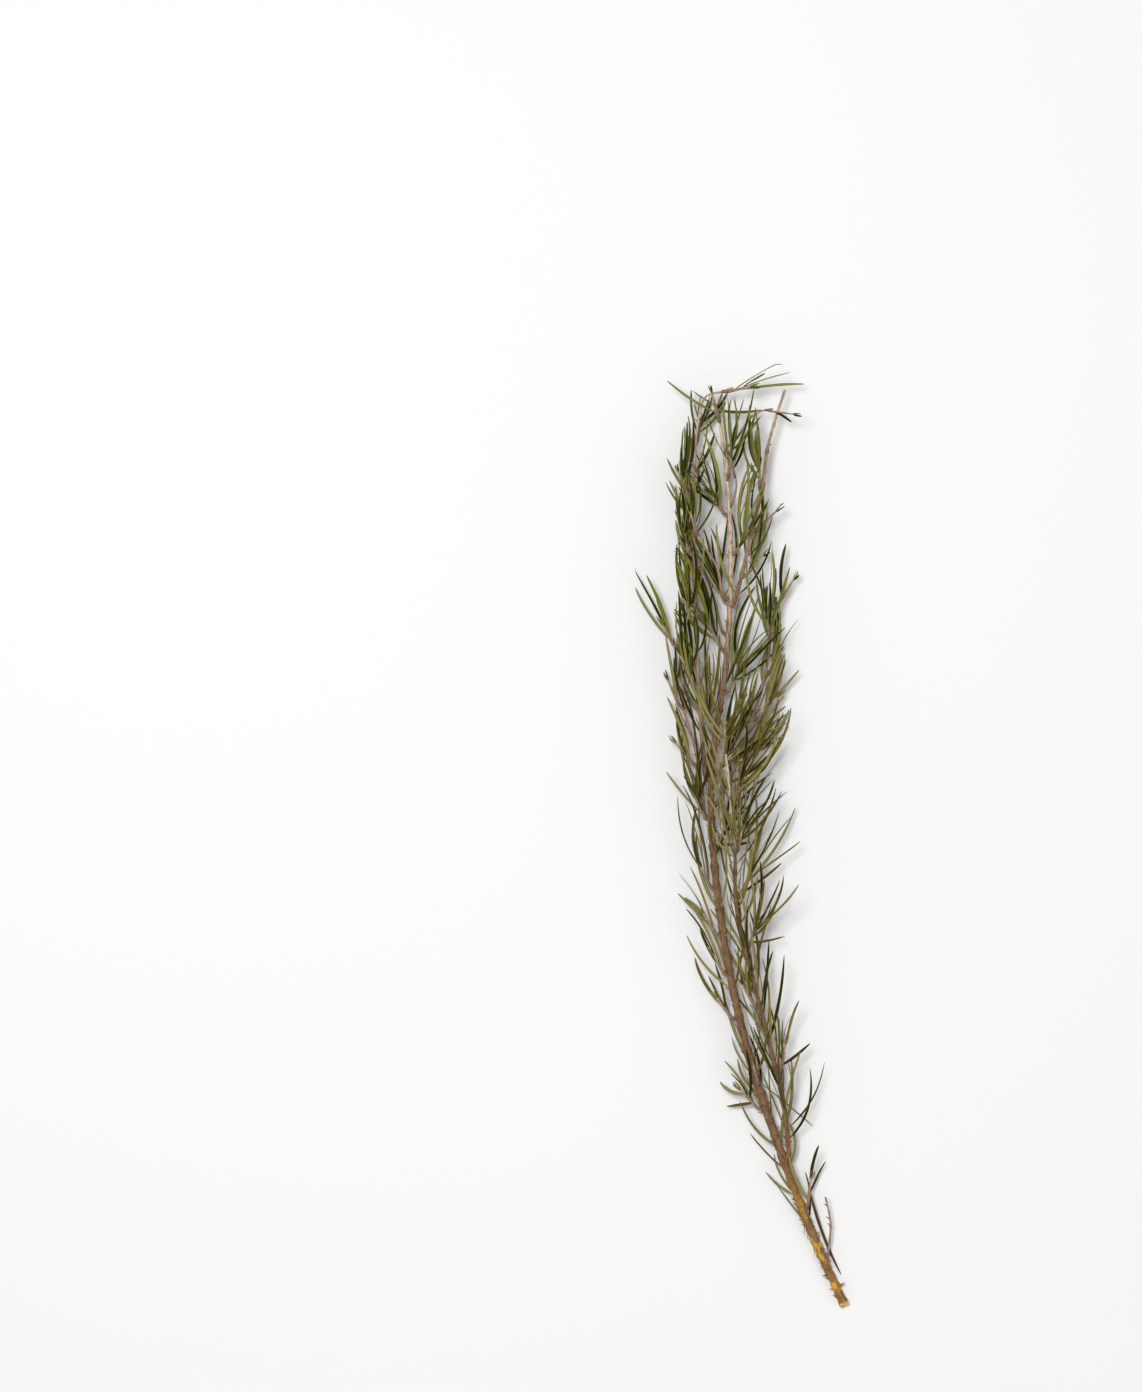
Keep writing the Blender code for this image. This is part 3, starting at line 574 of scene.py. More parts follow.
class Tree:
    """A node tree to add to."""

    def __init__(self, nodes_tree):
        self.tree = nodes_tree

    def add(self, kind, values=None, **settings):
        """A new node with its settings, and its sockets fed by numbers or by other sockets."""
        node = self.tree.nodes.new(kind)
        for name, setting in settings.items():
            setattr(node, name, setting)
        for name, value in (values or {}).items():
            source = value.socket if isinstance(value, Value) else value
            if isinstance(source, bpy.types.NodeSocket):
                self.tree.links.new(source, node.inputs[name])
            else:
                node.inputs[name].default_value = source
        return node

    def value(self, node, output=0):
        """A node's output, ready to stand in a sum."""
        return Value(self, node.outputs[output])

    def attribute(self, name, output="Fac"):
        """Something kept on the mesh, for a material."""
        return self.value(self.add("ShaderNodeAttribute", attribute_name=name), output)

    def place(self):
        """Where a point of the piece is, for a material."""
        return self.add("ShaderNodeTexCoord").outputs["Object"]

    def noise(self, vector, scale, detail=3.0, roughness=0.55):
        node = self.add("ShaderNodeTexNoise",
                        {"Vector": vector, "Scale": scale, "Detail": detail, "Roughness": roughness})
        return self.value(node, "Fac")

    def paint(self, colour, *layers):
        """A colour with others laid over it in turn, each by its own amount."""
        for amount, layer in layers:
            first, second = [(*c, 1.0) if isinstance(c, tuple) else c for c in (colour, layer)]
            node = self.add("ShaderNodeMix", {0: amount, 6: first, 7: second}, data_type="RGBA")
            colour = node.outputs[2]
        return colour


# ---- Materials

# Colours, as linear red, green and blue.
BROWN_LEAF = (0.125, 0.070, 0.030)
DEEP_LEAF = (0.009, 0.010, 0.001)
GROOVE_SHADE = (0.02, 0.03, 0.008)
GRAIN_SHADE = (0.01, 0.012, 0.004)
PALE_RIB = (0.42, 0.42, 0.20)
PALE_FOOT = (0.36, 0.30, 0.13)
YELLOW_WOOD = (0.78, 0.46, 0.03)
GOLDEN_WOOD = (0.46, 0.25, 0.06)
CUT_WOOD = (0.72, 0.58, 0.31)
DARK_SCAR = (0.022, 0.014, 0.008)
TABLE_COLOUR = (0.80, 0.80, 0.80)
TABLE_CLOUD = (0.82, 0.82, 0.815)

# Leaves: the upper face fresh and dry, the felted underside, and the rolled edge, whose pale colour is
# partly a painted highlight where the margins catch the light.
LEAF_COLOURS = {
    "green_leaf": ((0.028, 0.036, 0.002), (0.072, 0.068, 0.005), (0.25, 0.25, 0.070), (0.44, 0.42, 0.045)),
    "dry_leaf": ((0.050, 0.046, 0.006), (0.102, 0.074, 0.014), (0.28, 0.25, 0.095), (0.44, 0.36, 0.075)),
}
# Bark: at the foot, in the middle and at the top of a stem, then the grain's shade and its fibres.
BARK_COLOURS = {
    "old_wood": ((0.250, 0.122, 0.040), (0.215, 0.120, 0.062), (0.68, 0.52, 0.38),
                 (0.038, 0.020, 0.010), (0.58, 0.38, 0.20)),
    "young_wood": ((0.20, 0.120, 0.072), (0.34, 0.225, 0.155), (0.52, 0.40, 0.29),
                   (0.080, 0.046, 0.030), (0.52, 0.40, 0.29)),
    "dead_wood": ((0.24, 0.18, 0.15), (0.30, 0.235, 0.195), (0.34, 0.26, 0.21),
                  (0.11, 0.08, 0.065), (0.45, 0.38, 0.31)),
}
FIBRE_COLOURS = ((0.40, 0.28, 0.16), (0.13, 0.075, 0.040))     # pale and dark

LEAF_SHINE = 0.08
LEAF_SHINE_TINT = (1.0, 0.95, 0.70, 1.0)
BARK_SHINE = 0.10


def new_material(name):
    """An empty material with its shader, and the tree to add to."""
    material = bpy.data.materials.new(name)
    material.use_nodes = True
    shader = material.node_tree.nodes["Principled BSDF"]
    return material, shader, Tree(material.node_tree)


def finish_surface(tree, shader, colour, roughness, height, strength, distance):
    """Join the colour, roughness and relief of a surface to its shader."""
    links = tree.tree.links
    links.new(colour, shader.inputs["Base Color"])
    links.new(roughness.socket, shader.inputs["Roughness"])
    bump = tree.add("ShaderNodeBump", {"Strength": strength, "Distance": distance, "Height": height})
    links.new(bump.outputs["Normal"], shader.inputs["Normal"])


def leaf_material(name, fresh, dry, under, edge_highlight):
    """A dried leaf: dark and leathery above, with paler rolled margins and a felted underside; the margins'
    pale colour is partly a painted highlight.
    """
    material, shader, tree = new_material(name)
    across, along, below, tint, age = map(tree.attribute, ("across", "along", "under", "tint", "age"))
    place = tree.place()
    cloud = tree.noise(place, 260.0)
    grain = tree.noise(place, 2600.0, detail=4.0, roughness=0.6)
    inner = below * across.size().ramp(0.86, 0.6)
    top = tree.paint(
        fresh,
        (age.ramp(0.1, 0.9), dry),
        (cloud.ramp(0.50, 0.66) * 0.28, edge_highlight),                           # pale clouds
        (tint.ramp(0.66, 1.0) * 0.40, edge_highlight),                             # some leaves are paler
        (tint.ramp(0.60, 0.25) * 0.85, DEEP_LEAF),                       # and others are darker
        (tint.ramp(0.13, 0.0) * age.ramp(0.0, 0.5) * 0.85, BROWN_LEAF),  # a few old ones are brown
        # painted highlight along the margins: pale yellow that is partly their own paler colour and partly
        # light caught on the rolled edge
        (across.size().ramp(0.78, 0.96) * 0.85, edge_highlight),
        (across.bell(0.15) * 0.27, GROOVE_SHADE),
    )
    felt = tree.paint(under, (grain.ramp(0.3, 0.7) * 0.25, dry), (across.bell(0.13) * 0.55, PALE_RIB))
    colour = tree.paint(
        top,
        (inner, felt),
        (along.ramp(0.90, 1.0) * 0.6, BROWN_LEAF),                       # dry tips
        (along.ramp(0.10, 0.0) * 0.7, PALE_FOOT),
        (grain * 0.245, GRAIN_SHADE),
    )
    roughness = 0.38 + grain * 0.2 + inner * 0.3
    finish_surface(tree, shader, colour, roughness, grain * 0.35 + cloud * 0.3, 0.5, 0.00012)
    shader.inputs["Specular IOR Level"].default_value = LEAF_SHINE
    shader.inputs["Specular Tint"].default_value = LEAF_SHINE_TINT
    return material


def bark_material(name, foot, middle, top, shade, fibre):
    """Bark: long grain along the stem, dark rings at the joints, and bare wood at the cut foot."""
    material, shader, tree = new_material(name)
    share, cut, ring, bare = map(tree.attribute, ("share", "cut", "ring", "bare"))
    grain = tree.attribute("grain", "Vector")
    streak = tree.noise(grain, 1.5, detail=5.0, roughness=0.65)
    fine = tree.noise(grain, 5.0, detail=4.0, roughness=0.6)
    place = tree.place()
    cloud = tree.noise(place, 120.0, detail=2.0)
    speck = tree.noise(place, 1500.0, detail=2.0, roughness=0.5)
    year_rings = tree.noise(place, 1900.0)
    exposed = bare.ramp(0.10, 0.75) * (streak * 0.6 + cloud).ramp(0.74, 0.84)
    colour = tree.paint(
        foot,
        (share.ramp(0.02, 0.28), middle),
        (share.ramp(0.66, 0.88), top),
        (streak.ramp(0.45, 0.66) * 0.75, shade),
        (fine.ramp(0.52, 0.70) * 0.55, fibre),
        (cloud.ramp(0.55, 0.75) * 0.35, shade),
        (exposed, tree.paint(YELLOW_WOOD, (fine.ramp(0.35, 0.65), GOLDEN_WOOD))),
        (ring * 0.35, shade),
        (speck.ramp(0.66, 0.72) * bare * 0.9, DARK_SCAR),
        (cut, tree.paint(CUT_WOOD, (year_rings.ramp(0.35, 0.65), GOLDEN_WOOD))),
    )
    finish_surface(tree, shader, colour, 0.72 + streak * 0.2, streak * 0.8 + fine * 0.4, 0.8, 0.0002)
    shader.inputs["Specular IOR Level"].default_value = BARK_SHINE
    return material


def fibre_material(name, pale, dark):
    """Loose fibre and broken stubs: dry wood that darkens towards its torn end."""
    material, shader, tree = new_material(name)
    grain = tree.noise(tree.place(), 1800.0, detail=4.0, roughness=0.6)
    colour = tree.paint(
        pale,
        (tree.attribute("tint"), dark),
        (grain.ramp(0.4, 0.65) * 0.6, dark),
        (tree.attribute("along").ramp(0.55, 1.0) * 0.5, DARK_SCAR),
    )
    finish_surface(tree, shader, colour, 0.8 + grain * 0.15, grain, 0.6, 0.00012)
    return material


def table_material():
    """A plain pale table, very slightly uneven."""
    material, shader, tree = new_material("pale_table")
    cloud = tree.noise(tree.place(), 3.0, detail=2.0)
    tree.tree.links.new(tree.paint(TABLE_COLOUR, (cloud, TABLE_CLOUD)), shader.inputs["Base Color"])
    shader.inputs["Roughness"].default_value = 0.75
    return material


# ---- Geometry node trees

ROLL_POWER = 2.4         # higher keeps a leaf's roll nearer its margins
RIB_WIDTH = 0.2          # width of the groove above and the rib below, as a share of the half width
TUCK = 0.22              # how far the margins are tucked in underneath
TUCK_POWER = 4
GRAIN_ACROSS = 1.4       # how fast the grain of bark changes round a stem, per millimetre
GRAIN_ALONG = 0.16       # and along it
RIDGE_LEVEL = 0.62       # grain above this level stands out from the stem, below it sinks in
LUMP_SCALE = 420.0
LUMP_LEVEL = 0.56
LUMPS = 0.30             # height of lumps in the bark, as a share of the stem's radius
BARE_LUMPS = 1.2         # and how much higher they are where the wood is bare
STUB_LENGTH = 0.0013     # a broken peg, in metres: its length, and its radius at the foot and the tip
STUB_FOOT = 0.00030
STUB_TIP = 0.00007


def geometry_tree(name, inputs):
    """A geometry tree with named inputs, its own input and output nodes, and the tree to add to."""
    group = bpy.data.node_groups.new(name, "GeometryNodeTree")
    group.interface.new_socket("Geometry", in_out="INPUT", socket_type="NodeSocketGeometry")
    group.interface.new_socket("Geometry", in_out="OUTPUT", socket_type="NodeSocketGeometry")
    for label, (kind, default) in {**inputs, "Material": ("Material", None)}.items():
        socket = group.interface.new_socket(label, in_out="INPUT", socket_type="NodeSocket" + kind)
        if default is not None:
            socket.default_value = default
    tree = Tree(group)
    entry = tree.add("NodeGroupInput")
    leave = tree.add("NodeGroupOutput")
    return group, tree, entry, leave


def named(tree, name, kind="FLOAT"):
    """An attribute of the line that a piece is swept along."""
    node = tree.add("GeometryNodeInputNamedAttribute", {"Name": name}, data_type=kind)
    return tree.value(node, "Attribute")


def keep(tree, geometry, name, value, kind="FLOAT"):
    """Keep a number on every point of a shape, for its material."""
    node = tree.add("GeometryNodeStoreNamedAttribute", {"Geometry": geometry, "Name": name, "Value": value},
                    data_type=kind, domain="POINT")
    return node.outputs["Geometry"]


def point_places(tree):
    """Where the points of a shape are, as one vector and as its X, Y and Z."""
    place = tree.add("GeometryNodeInputPosition").outputs[0]
    split = tree.add("ShaderNodeSeparateXYZ", {0: place})
    return place, *(tree.value(split, axis) for axis in "XYZ")


def round_outline(tree, entry):
    """A circle of radius one with the asked number of sides."""
    circle = tree.add("GeometryNodeCurvePrimitiveCircle",
                      {"Resolution": entry.outputs["Sides"], "Radius": 1.0}, mode="RADIUS")
    return circle.outputs["Curve"]


def sweep(tree, entry, outline, face=None):
    """Sweep an outline along every line, as wide as the line says, with its top to the face."""
    lines = tree.add("GeometryNodeMeshToCurve", {"Mesh": entry.outputs["Geometry"]}).outputs[0]
    if face is not None:
        lines = tree.add("GeometryNodeSetCurveNormal", {"Curve": lines, "Normal": face},
                         mode="FREE").outputs[0]
    swept = tree.add("GeometryNodeCurveToMesh", {"Curve": lines, "Profile Curve": outline,
                                                 "Scale": named(tree, "half"), "Fill Caps": True})
    return swept.outputs[0]


def finish_tree(tree, entry, leave, mesh):
    """No point outside the sprig's own box, smooth shading, and the two nodes every tree ends in."""
    solid = tree.add("GeometryNodeRealizeInstances", {"Geometry": mesh}).outputs[0]
    place = tree.add("GeometryNodeInputPosition").outputs[0]
    for operation, corner in zip(("MAXIMUM", "MINIMUM"), CAD_BOX):
        limit = tree.add("ShaderNodeVectorMath", {0: place, 1: tuple(corner)}, operation=operation)
        place = limit.outputs[0]
    inside = tree.add("GeometryNodeSetPosition", {"Geometry": solid, "Position": place})
    smooth = tree.add("GeometryNodeSetShadeSmooth", {"Geometry": inside.outputs[0]})
    real = tree.add("GeometryNodeRealizeInstances", {"Geometry": smooth.outputs[0]})
    painted = tree.add("GeometryNodeSetMaterial",
                       {"Geometry": real.outputs[0], "Material": entry.outputs["Material"]})
    tree.tree.links.new(painted.outputs[0], leave.inputs[0])


def leaf_tree():
    """Sweeps the outline of a rolled leaf along every line."""
    group, tree, entry, leave = geometry_tree("leaf_blades", {
        "Sides": ("Int", 8),
        "Thickness": ("Float", 0.2),
        "Roll": ("Float", 0.45),
        "Groove": ("Float", 0.16),
        "Rib": ("Float", 0.14),
    })
    _, across, rise, _ = point_places(tree)
    lower = 1.0 - rise.above(-0.01)
    groove = (1.0 - lower) * tree.value(entry, "Groove")
    rib = lower * tree.value(entry, "Rib")
    rolled = (across.size() ** ROLL_POWER) * tree.value(entry, "Roll")
    height = rise * tree.value(entry, "Thickness") - rolled - across.bell(RIB_WIDTH) * (groove + rib)
    curled = across * (1.0 - (across.size() ** TUCK_POWER) * lower * TUCK)
    spot = tree.add("ShaderNodeCombineXYZ", {0: curled, 1: height, 2: 0.0}).outputs[0]
    outline = keep(tree, round_outline(tree, entry), "across", across)
    outline = keep(tree, outline, "under", lower)
    outline = tree.add("GeometryNodeSetPosition", {"Geometry": outline, "Position": spot}).outputs[0]
    blades = sweep(tree, entry, outline, named(tree, "face", "FLOAT_VECTOR"))
    finish_tree(tree, entry, leave, blades)
    return group


def bark_tree():
    """Sweeps a round bar along every line and roughens it with long ridges and small lumps."""
    group, tree, entry, leave = geometry_tree("bark", {
        "Sides": ("Int", 20),
        "Ridge": ("Float", 0.2),
        "Ridge Scale": ("Float", 0.9),
    })
    place, round_x, round_y, _ = point_places(tree)
    outline = keep(tree, round_outline(tree, entry), "round_x", round_x)
    outline = keep(tree, outline, "round_y", round_y)
    bars = sweep(tree, entry, outline)
    radius, round_x, round_y, reach, bare = (
        named(tree, name) for name in ("half", "round_x", "round_y", "reach", "bare"))
    thick = radius / MM * GRAIN_ACROSS
    grain = tree.add("ShaderNodeCombineXYZ",
                     {0: round_x * thick, 1: round_y * thick, 2: reach * GRAIN_ALONG}).outputs[0]
    bars = keep(tree, bars, "grain", grain, "FLOAT_VECTOR")
    ridges = tree.add("ShaderNodeTexNoise",
                      {"Vector": grain, "Scale": entry.outputs["Ridge Scale"], "Detail": 3.0})
    lumps = tree.noise(place, LUMP_SCALE, roughness=0.6) - LUMP_LEVEL
    rise = (tree.value(ridges, "Fac") - RIDGE_LEVEL) * tree.value(entry, "Ridge")
    rise = (rise + lumps * (bare * BARE_LUMPS + LUMPS)) * radius
    normal = tree.add("GeometryNodeInputNormal").outputs[0]
    push = tree.add("ShaderNodeVectorMath", {0: normal, "Scale": rise}, operation="SCALE").outputs[0]
    bars = tree.add("GeometryNodeSetPosition", {"Geometry": bars, "Offset": push}).outputs[0]
    finish_tree(tree, entry, leave, bars)
    return group


def stub_tree():
    """Sets a small broken peg on every point, turned and sized as the point says."""
    group, tree, entry, leave = geometry_tree("broken_stubs", {"Sides": ("Int", 7)})
    peg = tree.add("GeometryNodeMeshCone",
                   {"Vertices": entry.outputs["Sides"], "Side Segments": 3, "Radius Top": STUB_TIP,
                    "Radius Bottom": STUB_FOOT, "Depth": STUB_LENGTH}, fill_type="NGON")
    height = point_places(tree)[3]
    shape = keep(tree, peg.outputs["Mesh"], "along", height / STUB_LENGTH)
    rotation = tree.add("FunctionNodeAlignRotationToVector",
                        {"Vector": named(tree, "out", "FLOAT_VECTOR")}, axis="Z").outputs[0]
    spots = tree.add("GeometryNodeMeshToPoints", {"Mesh": entry.outputs["Geometry"]}).outputs[0]
    pegs = tree.add("GeometryNodeInstanceOnPoints", {"Points": spots, "Instance": shape,
                                                     "Rotation": rotation, "Scale": named(tree, "size")})
    finish_tree(tree, entry, leave, pegs.outputs[0])
    return group


def run_tree(name, lines, group, settings):
    """A plain mesh object: the lines put through a geometry tree, with the modifier gone."""
    carrier = bpy.data.objects.new(name + "_lines", lines)
    bpy.context.collection.objects.link(carrier)
    modifier = carrier.modifiers.new("Shape", "NODES")
    modifier.node_group = group
    for item in group.interface.items_tree:
        if item.name in settings:
            modifier[item.identifier] = settings[item.name]
    view = bpy.context.evaluated_depsgraph_get()
    mesh = bpy.data.meshes.new_from_object(carrier.evaluated_get(view), depsgraph=view)
    carrier.modifiers.clear()
    bpy.data.objects.remove(carrier)
    mesh.name = name
    piece = bpy.data.objects.new(name, mesh)
    bpy.context.collection.objects.link(piece)
    return piece


def point_mesh(name, points, edges, numbers, vectors):
    """A mesh of points and edges that keeps numbers and vectors for every point."""
    mesh = bpy.data.meshes.new(name)
    mesh.from_pydata([tuple(point) for point in placed(points)], edges, [])
    for label, values in numbers.items():
        mesh.attributes.new(label, "FLOAT", "POINT").data.foreach_set("value", values)
    for label, values in vectors.items():
        mesh.attributes.new(label, "FLOAT_VECTOR", "POINT").data.foreach_set("vector", np.ravel(values))
    return mesh


def line_mesh(name, lines, numbers, vectors=()):
    """A mesh of open lines; each line is a dict of its points and of a value for every point."""
    points = []
    edges = []
    for line in lines:
        first = len(points)
        points.extend(line["points"])
        edges.extend((i, i + 1) for i in range(first, len(points) - 1))
    joined = {label: np.concatenate([line[label] for line in lines]) for label in (*numbers, *vectors)}
    return point_mesh(name, points, edges, {label: joined[label] for label in numbers},
                      {label: joined[label] for label in vectors})


# ---- Lines of leaves, stems and shoots. Lengths are in millimetres.

LEAF_POINTS = 11
LEAF_TIP_WIDTH = 0.10    # half width of the blunt tip
LEAF_SLIM = 0.80         # a fine leaf's width, as a share of its solid's
LEAF_TWIST = 50.0        # degrees that a leaf may twist from its foot to its tip
LEAF_LAY = 45.0          # degrees that a whole leaf may be turned about its length
LEAF_WAVE = 0.10         # how far a leaf's middle line wavers
LEAF_RIPPLE = 0.05       # how much its width ripples, as a share
TURNED_OVER = 0.13       # share of the leaves that show their pale underside
AGE_AT_MIDDLE = 0.62     # how dry leaves are halfway up, where 0 is fresh and 1 is dry
AGE_REACH = 150.0        # the length of sprig over which leaves go from dry to fresh
AGE_SPREAD = 0.22
BUD_LEAVES = 3
BUD_TURN = 0.3           # how far off its even turn round the shoot an unopened leaf may be, in radians
BUD_LENGTH = (2.0, 3.6)
BUD_LEAN = (0.3, 1.0)    # how far its tip leans out
BUD_SINK = 0.4           # how far its foot is sunk in the shoot
BUD_BOW = 0.08
BUD_HALF_WIDTH = 0.42
STEM_STEP = 0.7          # spacing of a stem's rings
STEM_SLIM = 0.97         # a fine stem's radius, as a share of its solid's
STEM_WAVES = ((0.05, 0.9, 1.0), (0.04, 2.3, 2.0))    # waves in it: height as a share, pace, and shift
JOINT_SWELL = 0.26       # how much a stem swells at a joint, as a share of its radius
JOINT_WIDTH = 0.9        # length of a joint's swelling
SCAR_WIDTH = 0.45        # length of the dark ring round it
LEAF_NUMBERS = ("half", "along", "tint", "age")
BARK_NUMBERS = ("half", "reach", "share", "ring", "bare", "cut")
LEAF_BOX = ((-31.7, -141.5, 0.72), (32.0, 141.4, 22.2))    # no middle line of a leaf leaves this
BARE_JOINTS = {                      # joints of twigs that have lost their leaves
    "upper_right_branch": (0.70, 0.83, 0.97),
    "bent_twig": (0.3, 0.6, 0.9),
    "lower_dry_twig": (0.2, 0.45, 0.7, 0.95),
    "middle_dry_twig": (0.15, 0.35, 0.6, 0.85),
}
BARE_WOOD = 55.0                     # how far up from the cut foot the wood shows through the bark
PARENTS = {"middle_dry_twig": "right_long_branch"}    # every other side stem grows from the main stem
ROOT_DROP = 3.2                      # how far below its fork a side stem leaves its parent's middle
ROOT_SWELL = 0.35                    # how much thicker it is there, as a share
SHOOT_DROP = 1.6                     # the same two for a leafy shoot
SHOOT_SWELL = 0.25
TWIG_SLIM = {"bent_twig": 0.5, "tip_spur": 0.6}      # shoots thinner than the rest, by their stem
PLAIN_SLIM = 0.85                    # a fine shoot's radius, as a share of its solid's


def leaf_line(rng, leaf, age):
    """The line of one fine leaf, with its width, the turn of its face and its own tint."""
    shares = 1.0 - (1.0 - np.linspace(0.0, 1.0, LEAF_POINTS)) ** 1.25
    twist = math.radians(rng.uniform(-LEAF_TWIST, LEAF_TWIST))
    lay = math.radians(rng.uniform(-LEAF_LAY, LEAF_LAY))
    if rng.random() < TURNED_OVER:
        lay += math.pi
    wave = rng.uniform(0.0, math.tau)
    tint = rng.random()
    points = []
    faces = []
    half = []
    for share in shares:
        direction = leaf.along(share)
        side = unit(np.cross(direction, leaf.face))
        face = np.cross(side, direction)
        turn = lay + twist * share
        faces.append(face * math.cos(turn) + side * math.sin(turn))
        point = leaf.at(share) + side * LEAF_WAVE * math.sin(wave + 7.0 * share) * share
        points.append(np.clip(point, *LEAF_BOX))
        ripple = 1.0 + LEAF_RIPPLE * math.sin(wave + 19.0 * share)
        half.append(max(leaf.width_at(share) * ripple * LEAF_SLIM, LEAF_TIP_WIDTH) * MM)
    return dict(points=points, face=faces, half=half, along=shares,
                tint=np.full(LEAF_POINTS, tint), age=np.full(LEAF_POINTS, age))


def leaf_age(rng, place):
    """Leaves near the tip keep their green; those lower down are drier."""
    age = AGE_AT_MIDDLE - place[1] / AGE_REACH + rng.uniform(-AGE_SPREAD, AGE_SPREAD)
    return min(max(age, 0.0), 1.0)


def stem_line(points, radii, joints=(), bare_to=None):
    """The line of a stem or shoot, with rings at its joints and its distance from the foot."""
    points = np.asarray(points)
    reach = np.concatenate(((0.0,), np.cumsum(np.linalg.norm(np.diff(points, axis=0), axis=1))))
    radii = np.array(radii, dtype=float)
    ring = np.zeros(len(points))
    for joint in joints:
        radii = radii * (1.0 + JOINT_SWELL * np.exp(-((reach - joint) / JOINT_WIDTH) ** 2))
        ring = np.maximum(ring, np.exp(-((reach - joint) / SCAR_WIDTH) ** 2))
    bare = np.clip(1.0 - reach / bare_to, 0.0, 1.0) if bare_to else np.zeros(len(points))
    return dict(points=points, half=radii * MM, reach=reach, share=reach / reach[-1], ring=ring,
                bare=bare, cut=np.zeros(len(points)))


def fine_stem(name, stem, routes):
    """A stem's line: close rings, joints where its shoots leave, and a foot sunk in its parent."""
    route = routes[name]
    shares = np.linspace(0.0, 1.0, int(route.length / STEM_STEP) + 1)
    points = [route.at(share) for share in shares]
    joints = [spec[0] * route.length for spec in SHOOTS.get(name, ())]
    joints += [0.5 * (a + b) for a, b in zip(joints, joints[1:])]
    joints += [share * route.length for share in BARE_JOINTS.get(name, ())]
    reach = shares * route.length
    uneven = sum(height * np.sin(reach * pace + shift * len(name)) for height, pace, shift in STEM_WAVES)
    radii = np.array([stem_radius(stem, share) for share in shares]) * (STEM_SLIM + uneven)
    if name == "main_stem":
        line = stem_line(points, radii, joints, BARE_WOOD)
        line["cut"][:2] = 1.0
        return line
    line = stem_line(points, radii, joints)
    sunk_points, sunk_radii = sunk_foot(name, stem, routes)
    joined = stem_line([*sunk_points, *points], [*sunk_radii, *(line["half"] / MM)])
    joined["ring"][len(sunk_points):] = line["ring"]
    return joined


def sunk_foot(name, stem, routes):
    """From inside a side stem's parent up to just before the start of its own line."""
    start = routes[name].at(0.0)
    inside = routes[PARENTS.get(name, "main_stem")].short_of(start, ROOT_DROP)
    bend = start - routes[name].along(0.0) * ROOT_DROP * 0.5
    shares = np.linspace(0.0, 1.0, 9)[:-1]
    points = [arc(share, inside, bend, start) for share in shares]
    radii = stem_radius(stem, 0.0) * (1.0 + ROOT_SWELL * (1.0 - shares) ** 2)
    return points, radii


def twig_line(name, shoot, routes):
    """The line of a shoot's own bark, from inside the stem to its tip."""
    foot = shoot["foot"]
    inside = routes[stem_of(name)].short_of(foot, SHOOT_DROP)
    radius = SHOOT_RADIUS * TWIG_SLIM.get(stem_of(name), PLAIN_SLIM)
    sunk = np.linspace(0.0, 1.0, 7)[:-1]
    free = np.linspace(0.0, 1.0, 14)
    points = [inside * (1.0 - share) + foot * share for share in sunk]
    points += [foot + shoot["direction"] * shoot["length"] * share for share in free]
    radii = radius * np.concatenate((1.0 + SHOOT_SWELL * (1.0 - sunk), 1.0 - 0.5 * free))
    joints = np.linspace(2.2, SHOOT_DROP + shoot["length"], 5)
    return stem_line(points, radii, joints)


def bud_leaf(rng, shoot, tip, turn):
    """One of the small unopened leaves that close a shoot's tip."""
    direction = shoot["direction"]
    outward = outward_from(direction, turn + rng.uniform(-BUD_TURN, BUD_TURN))
    reach = rng.uniform(*BUD_LENGTH)
    end = tip + direction * reach + outward * rng.uniform(*BUD_LEAN)
    return bow_leaf(tip - direction * BUD_SINK, end, BUD_BOW, 0.0, BUD_HALF_WIDTH, direction, 0.0)


def stem_of(name):
    """The stem that a leafy shoot sits on."""
    return name.rsplit("_leaves_", 1)[0]


# ---- Pieces

LOOKS_SEED = 21
THICK_STEM = 1.0                     # a stem thicker than this at its foot has more sides
BARK_SIDES = (16, 28)                # of a thin and of a thick stem
BARK_RIDGES = (0.20, 0.28)           # height of the ridges, as a share of the radius
TWIG_SIDES = 10

GREEN_FROM_Y = 40.0                  # above this height on the sprig single leaves are still green
SINGLE_FIRST_OWNER = 1000            # the number that the first single leaf takes in the clearing
SINGLE_TRIES = 30
SINGLE_TURN_STEP = 0.12              # radians farther round the stem that each new try may go
SINGLE_SHRINK = 0.4                  # how much shorter the last try's leaf is, as a share
SINGLE_SINK = 0.8                    # where in the stem a leaf's foot lies, as a share of its radius
SINGLE_FOOT = 2.2                    # this near its foot a leaf may run into its neighbours
SINGLE_ROOM = 0.8                    # room kept round a leaf, as a share of its width
SINGLE_TOP = TOP_HEIGHT - 1.5        # no single leaf reaches higher than this
SINGLE_STRETCHES = (                 # a stem, from and to which share of it, pairs, and leaf length
    ("main_stem", 0.10, 0.30, 7, 15.0),
    ("main_stem", 0.30, 0.74, 8, 19.0),
    ("right_long_branch", 0.03, 0.30, 13, 21.0),
    ("right_long_branch", 0.30, 0.98, 26, 22.0),
    ("right_middle_branch", 0.08, 0.9, 7, 19.0),
    ("left_thin_branch", 0.15, 0.98, 4, 19.0),
    ("left_long_branch", 0.08, 0.80, 10, 19.0),
    ("upper_right_branch", 0.06, 0.46, 3, 19.0),
)
# Seen from above: a place along Y, and how far left and right these leaves may reach.
SINGLE_OUTLINE = ((-145.0, 16.0, 32.0), (-110.0, 4.0, 30.0), (-60.0, -11.0, 25.0), (-20.0, -20.0, 25.0),
                  (20.0, -22.0, 22.0), (60.0, -22.0, 18.0), (85.0, -20.0, 12.0), (110.0, -18.0, 8.0))

